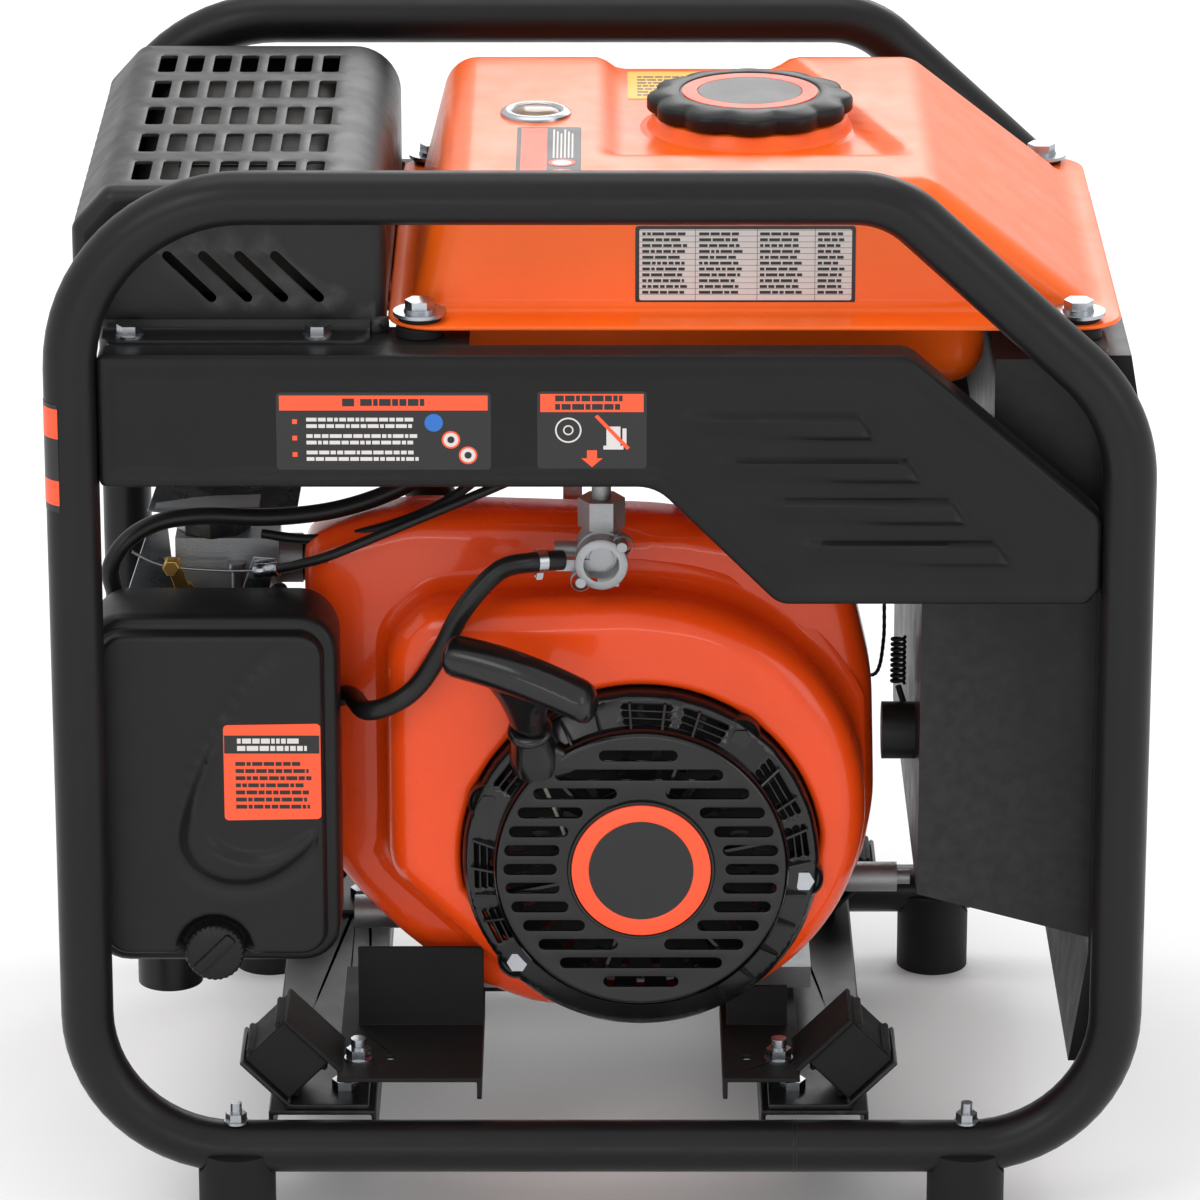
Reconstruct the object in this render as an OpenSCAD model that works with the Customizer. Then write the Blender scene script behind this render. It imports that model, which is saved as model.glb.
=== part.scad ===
// Portable petrol generator: tube hoop frame, single-cylinder engine, alternator,
// fuel tank, muffler guard, air cleaner and side control panel.
// Millimetres. +Z up, X across the frame, -Y is the recoil-starter side.
// Origin: middle of the footprint, on the floor.

/* [Frame] */
// Outside diameter of the hoop tube
tube_d = 27;
// [22:0.5:32]
// Wall of the hoop tube
tube_wall = 2;
// [1.5:0.5:3]
// Half width to the hoop tube centre
hoop_half_w = 264.5;
// [240:0.5:290]
// Half spacing between the two hoops
hoop_y = 180;
// [160:1:220]
// Height of the lower bar centre
bar_z = 45.5;
// [40:0.5:60]
// Height of the upper bar centre
top_z = 555.2;
// [500:0.1:600]
// X where the upper bar starts to slope down
diag_x = 143.7;
// [120:0.1:180]
// Height where the slope meets the right upright
diag_z = 443.8;
// [400:0.1:480]
// Bend radius of the lower corners
bend_low = 75;
// [50:1:100]
// Bend radius of the upper left corner
bend_top = 88;
// [50:1:110]
// Bend radius where the slope begins
bend_diag_a = 48;
// [30:1:60]
// Bend radius where the slope ends
bend_diag_b = 80;
// [40:1:90]

/* [Feet and mounts] */
// X of the rubber feet
foot_x = 189;
// [150:1:200]
// Diameter of a rubber foot
foot_d = 40;
// [30:1:50]
// Side of a square rubber engine mount
rubber_side = 32;
// [26:1:36]
// Thickness of a rubber engine mount
rubber_thick = 30;
// [24:1:34]

/* [Side panels] */
// Face of a side panel, measured from the middle
panel_face_y = 186;
// [184:1:188]
// Sheet thickness of a side panel
panel_sheet = 2;
// [1.5:0.5:3]
// Depth of the folded rim
panel_rim = 20;
// [12:1:22]

/* [Fuel tank] */
// Height of the tank flange top
flange_z = 483;
// [480:1:490]
// Height of the tank top
tank_top = 549;
// [540:1:555]
// Height of the tank bottom
tank_bottom = 440;
// [425:1:450]
// Sheet thickness of the tank
tank_sheet = 1.6;
// [1:0.2:2.4]
// Outside diameter of the filler cap
cap_d = 107;
// [90:1:112]
// X of the filler neck
cap_x = 77;
// [60:1:95]

/* [Engine] */
// X of the crankshaft axis
crank_x = 20.5;
// [10:0.5:30]
// Height of the crankshaft axis
crank_z = 187;
// [180:1:200]
// Radius of the main journals
journal_r = 17.5;
// [15:0.5:20]
// Radial running clearance of shafts
running_gap = 0.05;
// [0.02:0.01:0.1]
// Tilt of the cylinder above the horizontal
cyl_tilt = 25;
// [20:1:30]
// Radius of the recoil starter cover
recoil_r = 92.5;
// [85:0.5:96]
// Radius of the slotted front disc
disc_r = 75.5;
// [70:0.5:80]
// Radius of the rope groove on the reel
reel_r = 33;
// [28:1:36]

/* [Alternator] */
// Radius of the alternator body
alt_r = 79;
// [70:1:85]
// Radius of the rotor
rotor_r = 50;
// [45:1:55]
// Air gap between rotor and stator
air_gap = 0.6;
// [0.4:0.1:1]

/* [Muffler guard] */
// Height of the guard top
guard_top = 550;
// [540:1:556]
// Half length of the guard
guard_y = 145;
// [130:1:150]

/* [Control panel] */
// Radius of a round outlet body
socket_r = 24;
// [20:1:26]
// Height of the outlet centres
socket_z = 235;
// [200:1:260]

/* [Hidden] */
$fn = 48;
tube_r = tube_d / 2;
lift = 0.3;
black = [0.06, 0.06, 0.065];
dark = [0.10, 0.10, 0.11];
zinc = [0.74, 0.75, 0.76];
steel = [0.55, 0.56, 0.58];
alloy = [0.66, 0.67, 0.68];
orange = [0.95, 0.33, 0.05];
red_orange = [0.86, 0.20, 0.04];
rubber = [0.04, 0.04, 0.04];
brass = [0.72, 0.55, 0.25];
white = [0.85, 0.85, 0.82];
label_orange = [1.0, 0.35, 0.16];

// slope of the hoop
slope_dx = hoop_half_w - diag_x;
slope_dz = top_z - diag_z;
slope_a = atan2(slope_dz, slope_dx);
cut_a = bend_diag_a * tan(slope_a / 2);
cut_b = bend_diag_b * tan((90 - slope_a) / 2);

// mount geometry, measured outward from the fold of the upper arm
fold_left = -137;
fold_right = 103;
front_mount_y = -140;
rear_mount_y = 130;

// pull of the starter rope
guide = [-36, -150, 262];
pull_raw = [-6, -22, 41];
pull = pull_raw / norm(pull_raw);
grip_raw = [93, -28, -25];
grip_dir = grip_raw / norm(grip_raw);
grip_c = guide + 44 * pull;

// positions repeated on several pieces
tank_bolt_left = -91;
tank_bolt_right = 239;
tank_bolt_y = 148;
guard_bolt_xa = -236;
guard_bolt_xb = -142;
guard_bolt_y = 156;
recoil_lug_a = [221, -7, 158, 53];
recoil_lug_r = 85;
knob_x = -199.5;
knob_z = 146;
valve_y = -118;
valve_z = 351;
panel_plate_x = 262;

panel_pts = [[-251, 475], [153, 475], [251, 390], [251, 352],
             [244, 344], [89, 344], [27, 406], [-251, 406]];
box_pts = [[198, 462], [252, 462], [252, 149], [163, 173], [163, 335], [198, 375]];
bezel_pts = [[252, 465], [266, 465], [272, 430], [275, 380], [275, 270],
             [271, 200], [262, 140], [252, 81], [243, 81], [252, 141]];
shroud_pts = [[-154, 345], [-100, 360], [30, 356], [95, 345], [130, 318], [141, 270],
              [143, 200], [137, 160], [100, 112], [20, 95], [-50, 112], [-111, 165],
              [-154, 170]];
volute_pts = [[-111, 175], [-111, 300], [-90, 322], [22, 326], [22, 209], [-60, 127]];

// ---------------------------------------------------------------- helpers
// polygon corners moved inward by d (corners listed clockwise seen from -Y)
function edge_n(a, b) = let (t = (b - a) / norm(b - a)) [t[1], -t[0]];
function meet(p, u, q, v) = let (den = u[0] * v[1] - u[1] * v[0],
  s = ((q[0] - p[0]) * v[1] - (q[1] - p[1]) * v[0]) / den) p + s * u;
function inset(pts, d) = let (n = len(pts)) [for (i = [0 : n - 1])
  let (a = pts[(i + n - 1) % n], b = pts[i], c = pts[(i + 1) % n],
       n1 = edge_n(a, b), n2 = edge_n(b, c))
  meet(a + d * n1, b - a, b + d * n2, c - b)];

// prism of an XZ polygon between two Y values
module prism_y(pts, y0, y1) {
  translate([0, y1, 0])
    rotate([90, 0, 0])
      linear_extrude(y1 - y0)
        polygon(pts);
}

// round bar along Y
module rod_y(x, z, r, y0, y1) {
  translate([x, y1, z])
    rotate([90, 0, 0])
      cylinder(r = r, h = y1 - y0);
}

// round bar along X
module rod_x(y, z, r, x0, x1) {
  translate([x0, y, z])
    rotate([0, 90, 0])
      cylinder(r = r, h = x1 - x0);
}

// round bar between two points
module rod(a, b, r, r2 = -1) {
  d = b - a;
  translate(a)
    rotate([0, acos(d[2] / norm(d)), atan2(d[1], d[0])])
      cylinder(r1 = r, r2 = r2 < 0 ? r : r2, h = norm(d));
}

// box from corner to corner
module block(a, b) {
  translate(a)
    cube(b - a);
}

// box with its four edges along Y rounded
module slab_y(x0, x1, z0, z1, y0, y1, r) {
  block([x0 + r, y0, z0], [x1 - r, y1, z1]);
  block([x0, y0, z0 + r], [x1, y1, z1 - r]);
  for (x = [x0 + r, x1 - r], z = [z0 + r, z1 - r])
    rod_y(x, z, r, y0, y1);
}

// box with its four edges along Z rounded
module slab_z(x0, x1, y0, y1, z0, z1, r) {
  block([x0 + r, y0, z0], [x1 - r, y1, z1]);
  block([x0, y0 + r, z0], [x1, y1 - r, z1]);
  for (x = [x0 + r, x1 - r], y = [y0 + r, y1 - r])
    translate([x, y, z0])
      cylinder(r = r, h = z1 - z0);
}

// slot with round ends, cut along Y
module slot_y(x0, x1, z, h, y0, y1) {
  block([x0 + h / 2, y0, z - h / 2], [x1 - h / 2, y1, z + h / 2]);
  rod_y(x0 + h / 2, z, h / 2, y0, y1);
  rod_y(x1 - h / 2, z, h / 2, y0, y1);
}

// hexagon bar along +Z from the origin
module hex(af, h) {
  cylinder(d = af / cos(30), h = h, $fn = 6);
}

// hexagon flange bolt head on a face at the origin, +Z outward
module flange_head(size) {
  cylinder(r = size * 1.05, h = size * 0.2);
  translate([0, 0, size * 0.2])
    hex(size * 1.6, size * 0.7);
}

// frame at the engine cylinder: +Z along the cylinder, from the crank axis
module along_cylinder() {
  translate([crank_x, 0, crank_z])
    rotate([0, cyl_tilt - 90, 0])
      children();
}

// smooth curve through points
function curve_pt(a, b, c, d, t) = 0.5 * (2 * b + (c - a) * t
  + (2 * a - 5 * b + 4 * c - d) * t * t + (3 * b - a - 3 * c + d) * t * t * t);
function curve(p, k) = let (n = len(p)) [for (i = [0 : n - 2], j = [0 : k - 1])
  curve_pt(p[max(i - 1, 0)], p[i], p[i + 1], p[min(i + 2, n - 1)], j / k), p[n - 1]];
function tangent(c, i) = let (n = len(c), d = c[min(i + 1, n - 1)] - c[max(i - 1, 0)])
  d / norm(d);
function ring(c, i, r, ref, m) = let (t = tangent(c, i), u0 = cross(t, ref),
  u = u0 / norm(u0), v = cross(t, u))
  [for (k = [0 : m - 1]) c[i] + r * (cos(360 * k / m) * u + sin(360 * k / m) * v)];

// hose or cable swept along a curve; ref is never along the curve
module cord(points, r, ref, k = 4, m = 10, ripple = 0) {
  c = curve(points, k);
  n = len(c);
  pts = [for (i = [0 : n - 1])
    for (p = ring(c, i, r + ((i % 2 == 1) ? ripple : 0), ref, m)) p];
  sides = [for (i = [0 : n - 2], j = [0 : m - 1]) let (j2 = (j + 1) % m)
    for (f = [[i * m + j, (i + 1) * m + j, i * m + j2],
              [i * m + j2, (i + 1) * m + j, (i + 1) * m + j2]]) f];
  first = [[for (j = [0 : m - 1]) j]];
  last = [[for (j = [m - 1 : -1 : 0]) (n - 1) * m + j]];
  polyhedron(points = pts, faces = concat(sides, first, last));
}

// ---------------------------------------------------------------- frame
// bends are a hair thinner than the straight runs they join
module tube_bend(cx, cz, r, a0, a1, tr) {
  translate([cx, 0, cz])
    rotate([90, 0, 0])
      rotate([0, 0, a0])
        rotate_extrude(angle = a1 - a0)
          translate([r, 0])
            circle(r = tr - 0.05);
}

module tube_run(x0, z0, x1, z1, tr) {
  rod([x0, 0, z0], [x1, 0, z1], tr);
}

// closed loop of round bar of radius tr
module hoop_loop(tr) {
  lc = hoop_half_w - bend_low;
  lz = bar_z + bend_low;
  tx = -hoop_half_w + bend_top;
  tz = top_z - bend_top;
  ux = cos(slope_a);
  uz = sin(slope_a);
  ax = diag_x - cut_a;
  bx = diag_x + cut_a * ux;
  bz = top_z - cut_a * uz;
  ex = hoop_half_w - cut_b * ux;
  ez = diag_z + cut_b * uz;
  rz = diag_z - cut_b;
  tube_run(-lc, bar_z, lc, bar_z, tr);
  tube_bend(-lc, lz, bend_low, 180, 270, tr);
  tube_bend(lc, lz, bend_low, 270, 360, tr);
  tube_run(-hoop_half_w, lz, -hoop_half_w, tz, tr);
  tube_bend(tx, tz, bend_top, 90, 180, tr);
  tube_run(tx, top_z, ax, top_z, tr);
  tube_bend(ax, top_z - bend_diag_a, bend_diag_a, 90 - slope_a, 90, tr);
  tube_run(bx, bz, ex, ez, tr);
  tube_bend(hoop_half_w - bend_diag_b, rz, bend_diag_b, 0, 90 - slope_a, tr);
  tube_run(hoop_half_w, rz, hoop_half_w, lz, tr);
}

// one hoop on the -Y side, with its welded tab for the right tank bolt
module hoop() {
  difference() {
    union() {
      translate([0, -hoop_y, 0])
        hoop_loop(tube_r);
      block([tank_bolt_right - 16, -hoop_y + 11.6, 471.5], [tank_bolt_right + 14, -136, 474]);
    }
    translate([0, -hoop_y, 0])
      hoop_loop(tube_r - tube_wall);
    for (x = [-foot_x, foot_x])
      translate([x, -hoop_y, 20])
        cylinder(r = 3.3, h = 50);
    translate([tank_bolt_right, -tank_bolt_y, 460])
      cylinder(r = 4.3, h = 30);
  }
}

module front_hoop() {
  color(black)
    hoop();
}

module rear_hoop() {
  color(black)
    mirror([0, 1, 0])
      hoop();
}

// pressed channels that tie the hoops together and carry the engine mounts
module rail(x0, x1) {
  yr = hoop_y - tube_r;
  difference() {
    block([x0, -yr, 35], [x1, yr, 59]);
    block([x0 + 2.5, -yr - 1, 30], [x1 - 2.5, yr + 1, 56.5]);
    for (y = [front_mount_y, rear_mount_y])
      translate([x0 < 0 ? fold_left + 3 : fold_right - 3, y, 50])
        cylinder(r = 4.2, h = 12);
  }
}

module base_rails() {
  color(black) {
    rail(-173, -117);
    rail(83, 139);
  }
}

// pressed side panel with folded rim, ribs and a flange that carries tank and guard
module side_panel() {
  fy = -panel_face_y;
  difference() {
    union() {
      difference() {
        prism_y(panel_pts, fy, fy + panel_rim);
        prism_y(inset(panel_pts, panel_sheet), fy + panel_sheet, fy + panel_rim + 1);
      }
      block([-247, -166, 472.5], [-66, -134, 475]);
      rib([[45, 444.5], [128, 444.5], [138, 434], [45, 434]]);
      rib([[61, 421.5], [151, 421.5], [161, 411], [61, 411]]);
      rib([[82, 399.7], [174, 399.7], [184, 389.5], [82, 389.5]]);
      rib([[104, 377.5], [197, 377.5], [207, 367], [104, 367]]);
    }
    translate([tank_bolt_left, -tank_bolt_y, 460])
      cylinder(r = 4.3, h = 30);
    for (x = [guard_bolt_xa, guard_bolt_xb])
      translate([x, -guard_bolt_y, 460])
        cylinder(r = 3.3, h = 30);
  }
}

module rib(pts) {
  prism_y(pts, -panel_face_y - 2.5, -panel_face_y);
}

module front_panel() {
  color(black)
    side_panel();
}

module rear_panel() {
  color(black)
    mirror([0, 1, 0])
      side_panel();
}

module rubber_feet() {
  color(rubber)
    for (x = [-foot_x, foot_x], y = [-hoop_y, hoop_y])
      difference() {
        translate([x, y, 0])
          cylinder(d = foot_d, h = 45);
        rod_x(y, bar_z, tube_r, x - 30, x + 30);
        translate([x, y, -1])
          cylinder(r = 3.2, h = 50);
        translate([x, y, -1])
          cylinder(r = 8.5, h = 11);
      }
}

// bolts with nuts: feet, rail brackets and mount arms
module frame_bolts() {
  color(zinc) {
    for (x = [-foot_x, foot_x], y = [-hoop_y, hoop_y]) {
      translate([x, y, 4])
        cylinder(r = 3, h = 66);
      translate([x, y, 4])
        hex(10, 6);
      translate([x, y, bar_z + tube_r])
        flange_head(6);
    }
    for (x = [fold_left, fold_right], y = [front_mount_y, rear_mount_y]) {
      s = x < 0 ? 1 : -1;
      translate([x + 10.6 * s, y - 7, 70])
        cylinder(r = 4, h = 22);
      translate([x + 10.6 * s, y - 7, 71])
        hex(13, 6.5);
      translate([x + 10.6 * s, y - 7, 80])
        flange_head(7.2);
      translate([x + 3 * s, y, 50])
        cylinder(r = 4, h = 14);
      translate([x + 3 * s, y, 61.5])
        hex(12, 4.5);
    }
  }
}

// sheet strip in the XZ plane between two points, with thickness to one side
module strip(a, b, t, y0, y1) {
  d = (b - a) / norm(b - a);
  n = [-d[1], d[0]] * t;
  translate([0, y1, 0])
    rotate([90, 0, 0])
      linear_extrude(y1 - y0)
        polygon([a, b, b + n, a + n]);
}

// lower bracket: foot on the rail and a 45 degree wing, drawn for the right-hand side
module lower_bracket(y) {
  difference() {
    union() {
      block([-16, y - 24, 59], [28, y + 24, 61.5]);
      strip([26, 59.14], [51, 84.14], 2.5, y - 24, y + 24);
    }
    translate([-3, y, 58])
      cylinder(r = 4.2, h = 6);
  }
}

module at_folds() {
  translate([fold_right, 0, 0])
    children();
  translate([fold_left, 0, 0])
    mirror([1, 0, 0])
      children();
}

module mount_brackets() {
  color(black)
    at_folds()
      for (y = [front_mount_y, rear_mount_y])
        lower_bracket(y);
}

// rubber blocks held between the two wings of each mount
module rubber_mounts() {
  color(rubber)
    at_folds()
      for (y = [front_mount_y, rear_mount_y])
        translate([26.4, y, 84.3])
          rotate([0, -45, 0])
            mount_block();
}

module mount_block() {
  a = rubber_side / 2;
  h = rubber_thick / 2 - 0.05;
  block([-a, -20, -h], [a, 20, h]);
  for (z = [-h + 3, h - 6])
    block([-a - 2.5, -18, z], [a + 2.5, 18, z + 3]);
}

// upper arms: plates under crankcase and alternator with 45 degree wings
module mount_arms() {
  color(black) {
    difference() {
      union() {
        block([fold_left, -172, 77.5], [-62, -20, 80]);
        block([-62, -50, 77.5], [-35, -20, 80]);
        block([-64.5, -172, 68], [-62, -60, 80]);
        block([-128, -101, 80], [-62, -98.5, 124]);
        block([63, -172, 77.5], [fold_right, -20, 80]);
        block([63, -172, 68], [65.5, -60, 80]);
        block([66, -101, 80], [98, -98.5, 102]);
        block([fold_left, 108, 77.5], [fold_right, 152, 80]);
        difference() {
          block([-22, 124, 80], [63, 152, 124]);
          rod_y(crank_x, crank_z, alt_r, 110, 170);
          block([-12, 120, 84], [53, 160, 100]);
        }
        for (y = [front_mount_y, rear_mount_y])
          at_folds()
            strip([-0.9, 78.2], [27.5, 106.6], 2.5, y - 22, y + 22);
      }
      for (x = [fold_left + 10.6, fold_right - 10.6], y = [front_mount_y - 7, rear_mount_y - 7])
        translate([x, y, 70])
          cylinder(r = 4.2, h = 12);
      for (x = [fold_left + 27, fold_right - 27])
        translate([x, front_mount_y - 4, 70])
          cylinder(r = 3, h = 12);
    }
  }
}

// ---------------------------------------------------------------- fuel tank
module tank_upper(r, x0, x1, y, z0, z1, xt0, xt1) {
  hull() {
    for (s = [-1, 1]) {
      translate([xt0 + r, s * (y - r), z1 - r])
        sphere(r = r, $fn = 24);
      translate([xt1, s * (y - r), z1 - r])
        sphere(r = r, $fn = 24);
      translate([x0 + r, s * (y - r), z0])
        cylinder(r = r, h = 1, $fn = 24);
      translate([x1 - r, s * (y - r), z0])
        cylinder(r = r, h = 1, $fn = 24);
    }
  }
}

module tank_lower(r, x0, x1, y, z0, z1) {
  hull() {
    for (s = [-1, 1], x = [x0 + r, x1 - r]) {
      translate([x, s * (y - r), z1 - 1])
        cylinder(r = r, h = 1, $fn = 24);
      translate([x + (x < 0 ? 4 : -4), s * (y - r - 4), z0 + r])
        sphere(r = r, $fn = 24);
    }
  }
}

module fuel_tank() {
  t = tank_sheet;
  color(orange)
    difference() {
      union() {
        tank_upper(18, -95, 246, 135, flange_z - 1, tank_top, -84, 160);
        slab_z(-107, 261, -161, 161, flange_z - 2.5, flange_z, 24);
        tank_lower(18, -88, 194, 130, tank_bottom, flange_z - 2.4);
        translate([cap_x, 0, tank_top - 8])
          cylinder(r = 51, h = 10);
      }
      tank_upper(16.5, -95 + t, 246 - t, 135 - t, flange_z, tank_top - t, -84 + t, 160);
      tank_lower(16.5, -88 + t, 194 - t, 130 - t, tank_bottom + t, flange_z + 1);
      translate([cap_x, 0, tank_top - 12])
        cylinder(r = 30, h = 20);
      for (x = [tank_bolt_left, tank_bolt_right], s = [-1, 1])
        translate([x, s * tank_bolt_y, flange_z - 10])
          cylinder(r = 4.3, h = 20);
      translate([-34, 2, tank_top - 10])
        cylinder(r = 15, h = 20);
      translate([0, valve_y, tank_bottom - 5])
        cylinder(r = 5, h = 12);
    }
}

// rubber bushes under and above the flange at the four tank bolts
module tank_grommets() {
  color(rubber)
    for (x = [tank_bolt_left, tank_bolt_right], s = [-1, 1])
      difference() {
        union() {
          translate([x, s * tank_bolt_y, x < 0 ? 475 : 474])
            cylinder(r = 12, h = flange_z - 2.5 - (x < 0 ? 475 : 474));
          translate([x, s * tank_bolt_y, flange_z])
            cylinder(r = 11, h = 3);
        }
        translate([x, s * tank_bolt_y, 470])
          cylinder(r = 4, h = 30);
      }
}

module tank_bolts() {
  color(zinc)
    for (x = [tank_bolt_left, tank_bolt_right], s = [-1, 1])
      translate([x, s * tank_bolt_y, 0]) {
        translate([0, 0, 462])
          cylinder(r = 4, h = 28);
        translate([0, 0, x < 0 ? 465.5 : 464.5])
          hex(13, 7);
        translate([0, 0, flange_z + 3])
          cylinder(r = 13.5, h = 1.8);
        translate([0, 0, flange_z + 4.8])
          hex(13, 5.5);
        translate([0, 0, flange_z + 4.8])
          cylinder(r = 8, h = 1.4);
      }
}

// scalloped cap that turns on the bayonet insert
module fuel_cap() {
  z0 = tank_top + 2.4;
  color(black)
    difference() {
      union() {
        translate([cap_x, 0, z0])
          cylinder(d = cap_d, h = 8);
        translate([cap_x, 0, z0 + 8])
          cylinder(r1 = cap_d / 2 - 2, r2 = cap_d / 2 - 8, h = 3);
      }
      for (a = [0 : 30 : 330])
        translate([cap_x, 0, z0 - 1])
          rotate([0, 0, a + 15])
            translate([cap_d / 2 + 5.5, 0, 0])
              cylinder(r = 10, h = 20);
      translate([cap_x, 0, z0 - 1])
        cylinder(r = 32, h = 5);
      translate([cap_x, 0, z0 - 1])
        cylinder(r = 6.05, h = 9);
    }
}

// bayonet plate and stub that hang below the cap
module cap_insert() {
  z0 = tank_top + 2.4;
  color(steel) {
    translate([cap_x, 0, z0 - 12])
      cylinder(r = 29, h = 10);
    translate([cap_x, 0, z0 - 2])
      cylinder(r = 6, h = 9);
    translate([cap_x, 0, z0 - 0.1])
      cylinder(r = 31.5, h = 3);
  }
}

module fuel_gauge() {
  color(dark) {
    translate([-34, 2, tank_top - 9])
      cylinder(r = 14.9, h = 9);
    translate([-34, 2, tank_top])
      cylinder(r = 18.5, h = 3);
  }
}

// tap under the tank with its union nut and side spigot
module fuel_valve() {
  color(zinc) {
    difference() {
      union() {
        translate([0, valve_y, 378])
          cylinder(r = 5, h = tank_bottom - 377);
        translate([0, valve_y, 364])
          hex(21, 15);
        translate([0, valve_y, 357])
          cylinder(r = 6.5, h = 7);
        rod_y(0, valve_z, 13, valve_y - 9, valve_y + 9);
        block([-2, valve_y - 9, valve_z - 17], [9, valve_y + 6, valve_z]);
        rod([-10, valve_y, valve_z], [-24, valve_y, valve_z], 4.5);
      }
      rod_y(0, valve_z, 6.05, valve_y - 10, valve_y + 4);
    }
  }
}

module fuel_valve_lever() {
  color(steel) {
    rod_y(0, valve_z, 6, valve_y - 14, valve_y + 3.8);
    block([-23, valve_y - 14, valve_z - 7], [3, valve_y - 11.5, valve_z - 1]);
    rod_y(0, valve_z, 8, valve_y - 13, valve_y - 9.3);
  }
}

hose_route = [[-20, valve_y, valve_z], [-34, valve_y - 6, 351], [-52, -134, 345],
  [-70, -138, 326], [-82, -138, 303], [-94, -138, 284], [-107, -138, 274],
  [-121, -131, 268], [-130, -101.5, 265], [-140, -98.2, 264], [-157, -98, 272],
  [-163, -96, 290], [-163, -86, 306], [-168.5, -73, 313.2]];

module fuel_hose() {
  color(rubber)
    difference() {
      cord(hose_route, 5.2, [0.3, 0.5, 0.8], 4, 10);
      rod([-10, valve_y, valve_z], [-24, valve_y, valve_z], 4.5);
      rod([-176, -60, 318], [-167, -76, 312], 3.2);
      block([-180, -110, 250], [-171.9, -77.8, 330]);
    }
}

// ---------------------------------------------------------------- exhaust
module muffler() {
  color(steel)
    difference() {
      union() {
        rod_y(-216, 513, 25, -118, 118);
        rod_y(-154, 513, 25, -118, 118);
        block([-216, -118, 488], [-154, 118, 538]);
        rod_y(-185, 513, 9, 117, 138);
        for (y = [-60, 60])
          block([-216, y - 1, 487], [-154, y + 1, 539]);
      }
      block([-216, -115, 491], [-154, 115, 535]);
      rod_y(-216, 513, 21.9, -115, 115);
      rod_y(-154, 513, 21.9, -115, 115);
      rod_y(-185, 513, 7, 110, 140);
    }
}

module muffler_guard() {
  g = [[-265, 476], [-265, 530], [-247, 550], [-133, 550], [-108, 525], [-108, 476]];
  gi = inset(g, 1.6);
  gt = guard_top;
  color(black)
    difference() {
      union() {
        difference() {
          union() {
            prism_y(g, -guard_y, guard_y);
            intersection() {
              rod_y(-133, 525, 25, -guard_y, guard_y);
              block([-133, -200, 525], [-100, 200, 560]);
            }
          }
          prism_y(gi, -guard_y + 1.6, guard_y - 1.6);
          block([-263.4, -guard_y + 1.6, 470], [-109.6, guard_y - 1.6, 480]);
          intersection() {
            rod_y(-133, 525, 23.4, -guard_y + 1.6, guard_y - 1.6);
            block([-134, -200, 524], [-100, 200, 560]);
          }
        }
        for (s = [-1, 1])
          block([-250, s > 0 ? guard_y - 1 : -164, 475], [-116, s > 0 ? 164 : -guard_y + 1, 476.6]);
      }
      for (i = [0 : 6], j = [0 : 4])
        translate([-231 + 14.5 * i, -111 + 53 * j, gt - 5])
          vent_hole();
      for (i = [0 : 3])
        guard_slash(-219 + 18 * i);
      for (x = [guard_bolt_xa, guard_bolt_xb], s = [-1, 1])
        translate([x, s * guard_bolt_y, 470])
          cylinder(r = 3.3, h = 12);
      rod_y(-185, 513, 14, guard_y - 5, guard_y + 5);
    }
}

module vent_hole() {
  slab_z(-4.2, 4.2, -17.5, 17.5, 0, 10, 2);
}

// diagonal louvre in the end face
module guard_slash(x) {
  translate([x, -guard_y - 2, 517])
    rotate([0, 45, 0])
      slot_y(0, 36, 0, 5, 0, 6);
}

// flange bolts that hold the guard and the recoil starter
module flange_bolts() {
  color(zinc) {
    for (x = [guard_bolt_xa, guard_bolt_xb], s = [-1, 1]) {
      translate([x, s * guard_bolt_y, 466])
        cylinder(r = 3, h = 12);
      translate([x, s * guard_bolt_y, 476.6])
        flange_head(7);
    }
    for (a = recoil_lug_a)
      translate([crank_x + recoil_lug_r * cos(a), 0, crank_z + recoil_lug_r * sin(a)]) {
        rod_y(0, 0, 2.9, -134, -114);
        translate([0, -134, 0])
          rotate([90, 0, 0])
            flange_head(6);
      }
  }
}

module exhaust_pipe() {
  a = [-90.3, 28, 297.6];
  b = [-84, 28, 314];
  c = [-150, 28, 487.8];
  color(steel) {
    rod(a, b, 13);
    translate(b)
      sphere(r = 13.6);
    rod(b, c, 13);
    along_cylinder()
      translate([52, 28, 147])
        rotate([0, 90, 0])
          rotate([0, 0, 90])
            pipe_flange();
  }
}

module pipe_flange() {
  translate([-24, -17, 0])
    cube([48, 34, 6]);
}

module heat_baffle() {
  color(black) {
    block([-140, -48, 362], [40, 6, 363.5]);
    block([38.5, -48, 340], [40, 6, 362.1]);
    block([-20, -48, 345], [-10, -46.5, 362.1]);
  }
}

// ---------------------------------------------------------------- engine
module crankcase() {
  color(alloy)
    difference() {
      union() {
        slab_y(-52, 93, 84, 254, -50, 50, 18);
        block([-72, -50, 80], [112, 50, 92]);
        rod_y(crank_x, crank_z, 32, -54, 52);
        along_cylinder() {
          translate([0, 0, 50])
            cylinder(r = 43, h = 80);
          for (d = [82 : 9 : 127])
            translate([-50, -46, d])
              cube([100, 92, 2.5]);
        }
        rod_x(-30, 136, 8, 90, 158);
        rod_x(-30, 136, 4, 157, 165);
        rod_x(-30, 116, 9, -132, -50);
      }
      slab_y(-44, 85, 94, 246, -42, 42, 12);
      along_cylinder()
        translate([0, 0, 20])
          cylinder(r = 34, h = 120);
      rod_y(crank_x, crank_z, journal_r + running_gap, -60, 60);
    }
}

module cylinder_head() {
  color(alloy)
    along_cylinder()
      difference() {
        union() {
          translate([-46, -44, 130])
            cube([92, 88, 34]);
          for (d = [134 : 8 : 158])
            translate([-52, -48, d])
              cube([104, 96, 2.5]);
        }
        translate([0, 0, 129])
          cylinder(r = 34, h = 12);
        translate([-46, 0, 150])
          rotate([0, -90, 0])
            cylinder(r = 12, h = 10);
      }
}

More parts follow.
